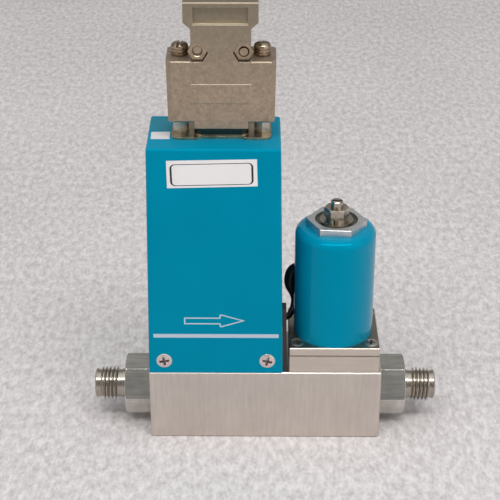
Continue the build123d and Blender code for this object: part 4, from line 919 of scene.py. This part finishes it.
def around(azimuth, elevation, distance, centre):
    a, e = math.radians(azimuth), math.radians(elevation)
    back = Vector((math.sin(a) * math.cos(e), -math.cos(a) * math.cos(e), math.sin(e)))
    return centre + back * distance, back


def floorFinish():
    finish = Finish("floorGrey", Specular_IOR_Level=0.2)
    cell = finish.noise(420, 3, 0.65, (1, 0.5, 1))
    fleck = finish.noise(900, 2, 0.6, (1, 0.5, 1))
    broad = finish.noise(9, 2, 0.5)
    tone = (cell * 0.6 + fleck * 0.28 + broad * 0.12).between(0.38, 0.62)
    finish.set(Base_Color=finish.mix(tone, rgb(0.485, 0.456, 0.461), rgb(0.73, 0.705, 0.71)),
               Roughness=0.75 + cell * 0.15, Normal=finish.bump(cell + fleck * 0.5, 0.35 * mm, 0.6))
    return finish.material


half = setup["floorSize"] / 2
floorMesh = bpy.data.meshes.new("floor")
floorMesh.from_pydata([(-half, -half, 0), (half, -half, 0), (half, half, 0), (-half, half, 0)], [], [(0, 1, 2, 3)])
floorMesh.materials.append(floorFinish())
floor = bpy.data.objects.new("floor", floorMesh)
bpy.context.collection.objects.link(floor)

world = bpy.data.worlds.new("studio")
world.use_nodes = True
bpy.context.scene.world = world
sky = Tree(world.node_tree)
world.node_tree.nodes.clear()
direction = sky.node("ShaderNodeTexCoord", out=0)
skyY = sky.node("ShaderNodeSeparateXYZ", {}, {0: direction}, out=1)
skyZ = sky.node("ShaderNodeSeparateXYZ", {}, {0: direction}, out=2)
front = sky.node("ShaderNodeValToRGB", {"stops": [(0.0, rgb(0.52, 0.51, 0.49)), (0.13, rgb(0.46, 0.45, 0.44)),
                                                  (0.26, rgb(0.2, 0.2, 0.2)), (0.78, rgb(0.24, 0.24, 0.24)),
                                                  (1.0, rgb(1.25, 1.25, 1.25))]}, {0: skyZ})
rear = sky.node("ShaderNodeValToRGB", {"stops": [(0.0, rgb(0.6, 0.6, 0.6)), (0.3, rgb(0.3, 0.3, 0.29)),
                                                 (0.55, rgb(0.27, 0.27, 0.26)), (0.78, rgb(0.5, 0.5, 0.5)),
                                                 (1.0, rgb(1.25, 1.25, 1.25))]}, {0: skyZ})
blendY = (skyY * 2.5 + 0.5).clamped()
skyColour = sky.node("ShaderNodeMix", {"data_type": "RGBA"}, {0: blendY, 6: front, 7: rear}, out=2)
background = sky.node("ShaderNodeBackground", {}, {"Color": skyColour, "Strength": 1.0})
worldOutput = world.node_tree.nodes.new("ShaderNodeOutputWorld")
world.node_tree.links.new(background.socket, worldOutput.inputs["Surface"])

centre = Vector((0, 0, 60)) * mm
for name, (azimuth, elevation, distance, width, height, watts) in setup["lamps"].items():
    lamp = bpy.data.lights.new(name, "AREA")
    lamp.shape = "RECTANGLE"
    lamp.size = width
    lamp.size_y = height
    lamp.energy = watts
    lamp.color = (1.0, 0.985, 0.965)
    item = bpy.data.objects.new(name, lamp)
    item.location, back = around(azimuth, elevation, distance, centre)
    item.rotation_mode = "QUATERNION"
    item.rotation_quaternion = back.to_track_quat("Z", "Y")
    bpy.context.collection.objects.link(item)

camera = bpy.data.objects.new("camera", bpy.data.cameras.new("camera"))
camera.data.lens = setup["lens"]
camera.data.sensor_width = 36.0
camera.data.clip_start = 0.01
camera.location, back = around(setup["azimuth"], setup["elevation"], setup["distance"] * mm,
                               Vector(setup["target"]) * mm)
camera.rotation_mode = "QUATERNION"
camera.rotation_quaternion = back.to_track_quat("Z", "Y") @ Matrix.Rotation(
    math.radians(setup["roll"]), 3, "Z").to_quaternion()
bpy.context.collection.objects.link(camera)
bpy.context.scene.camera = camera
bpy.context.scene.view_settings.view_transform = "Standard"
print("stage, light and camera set")
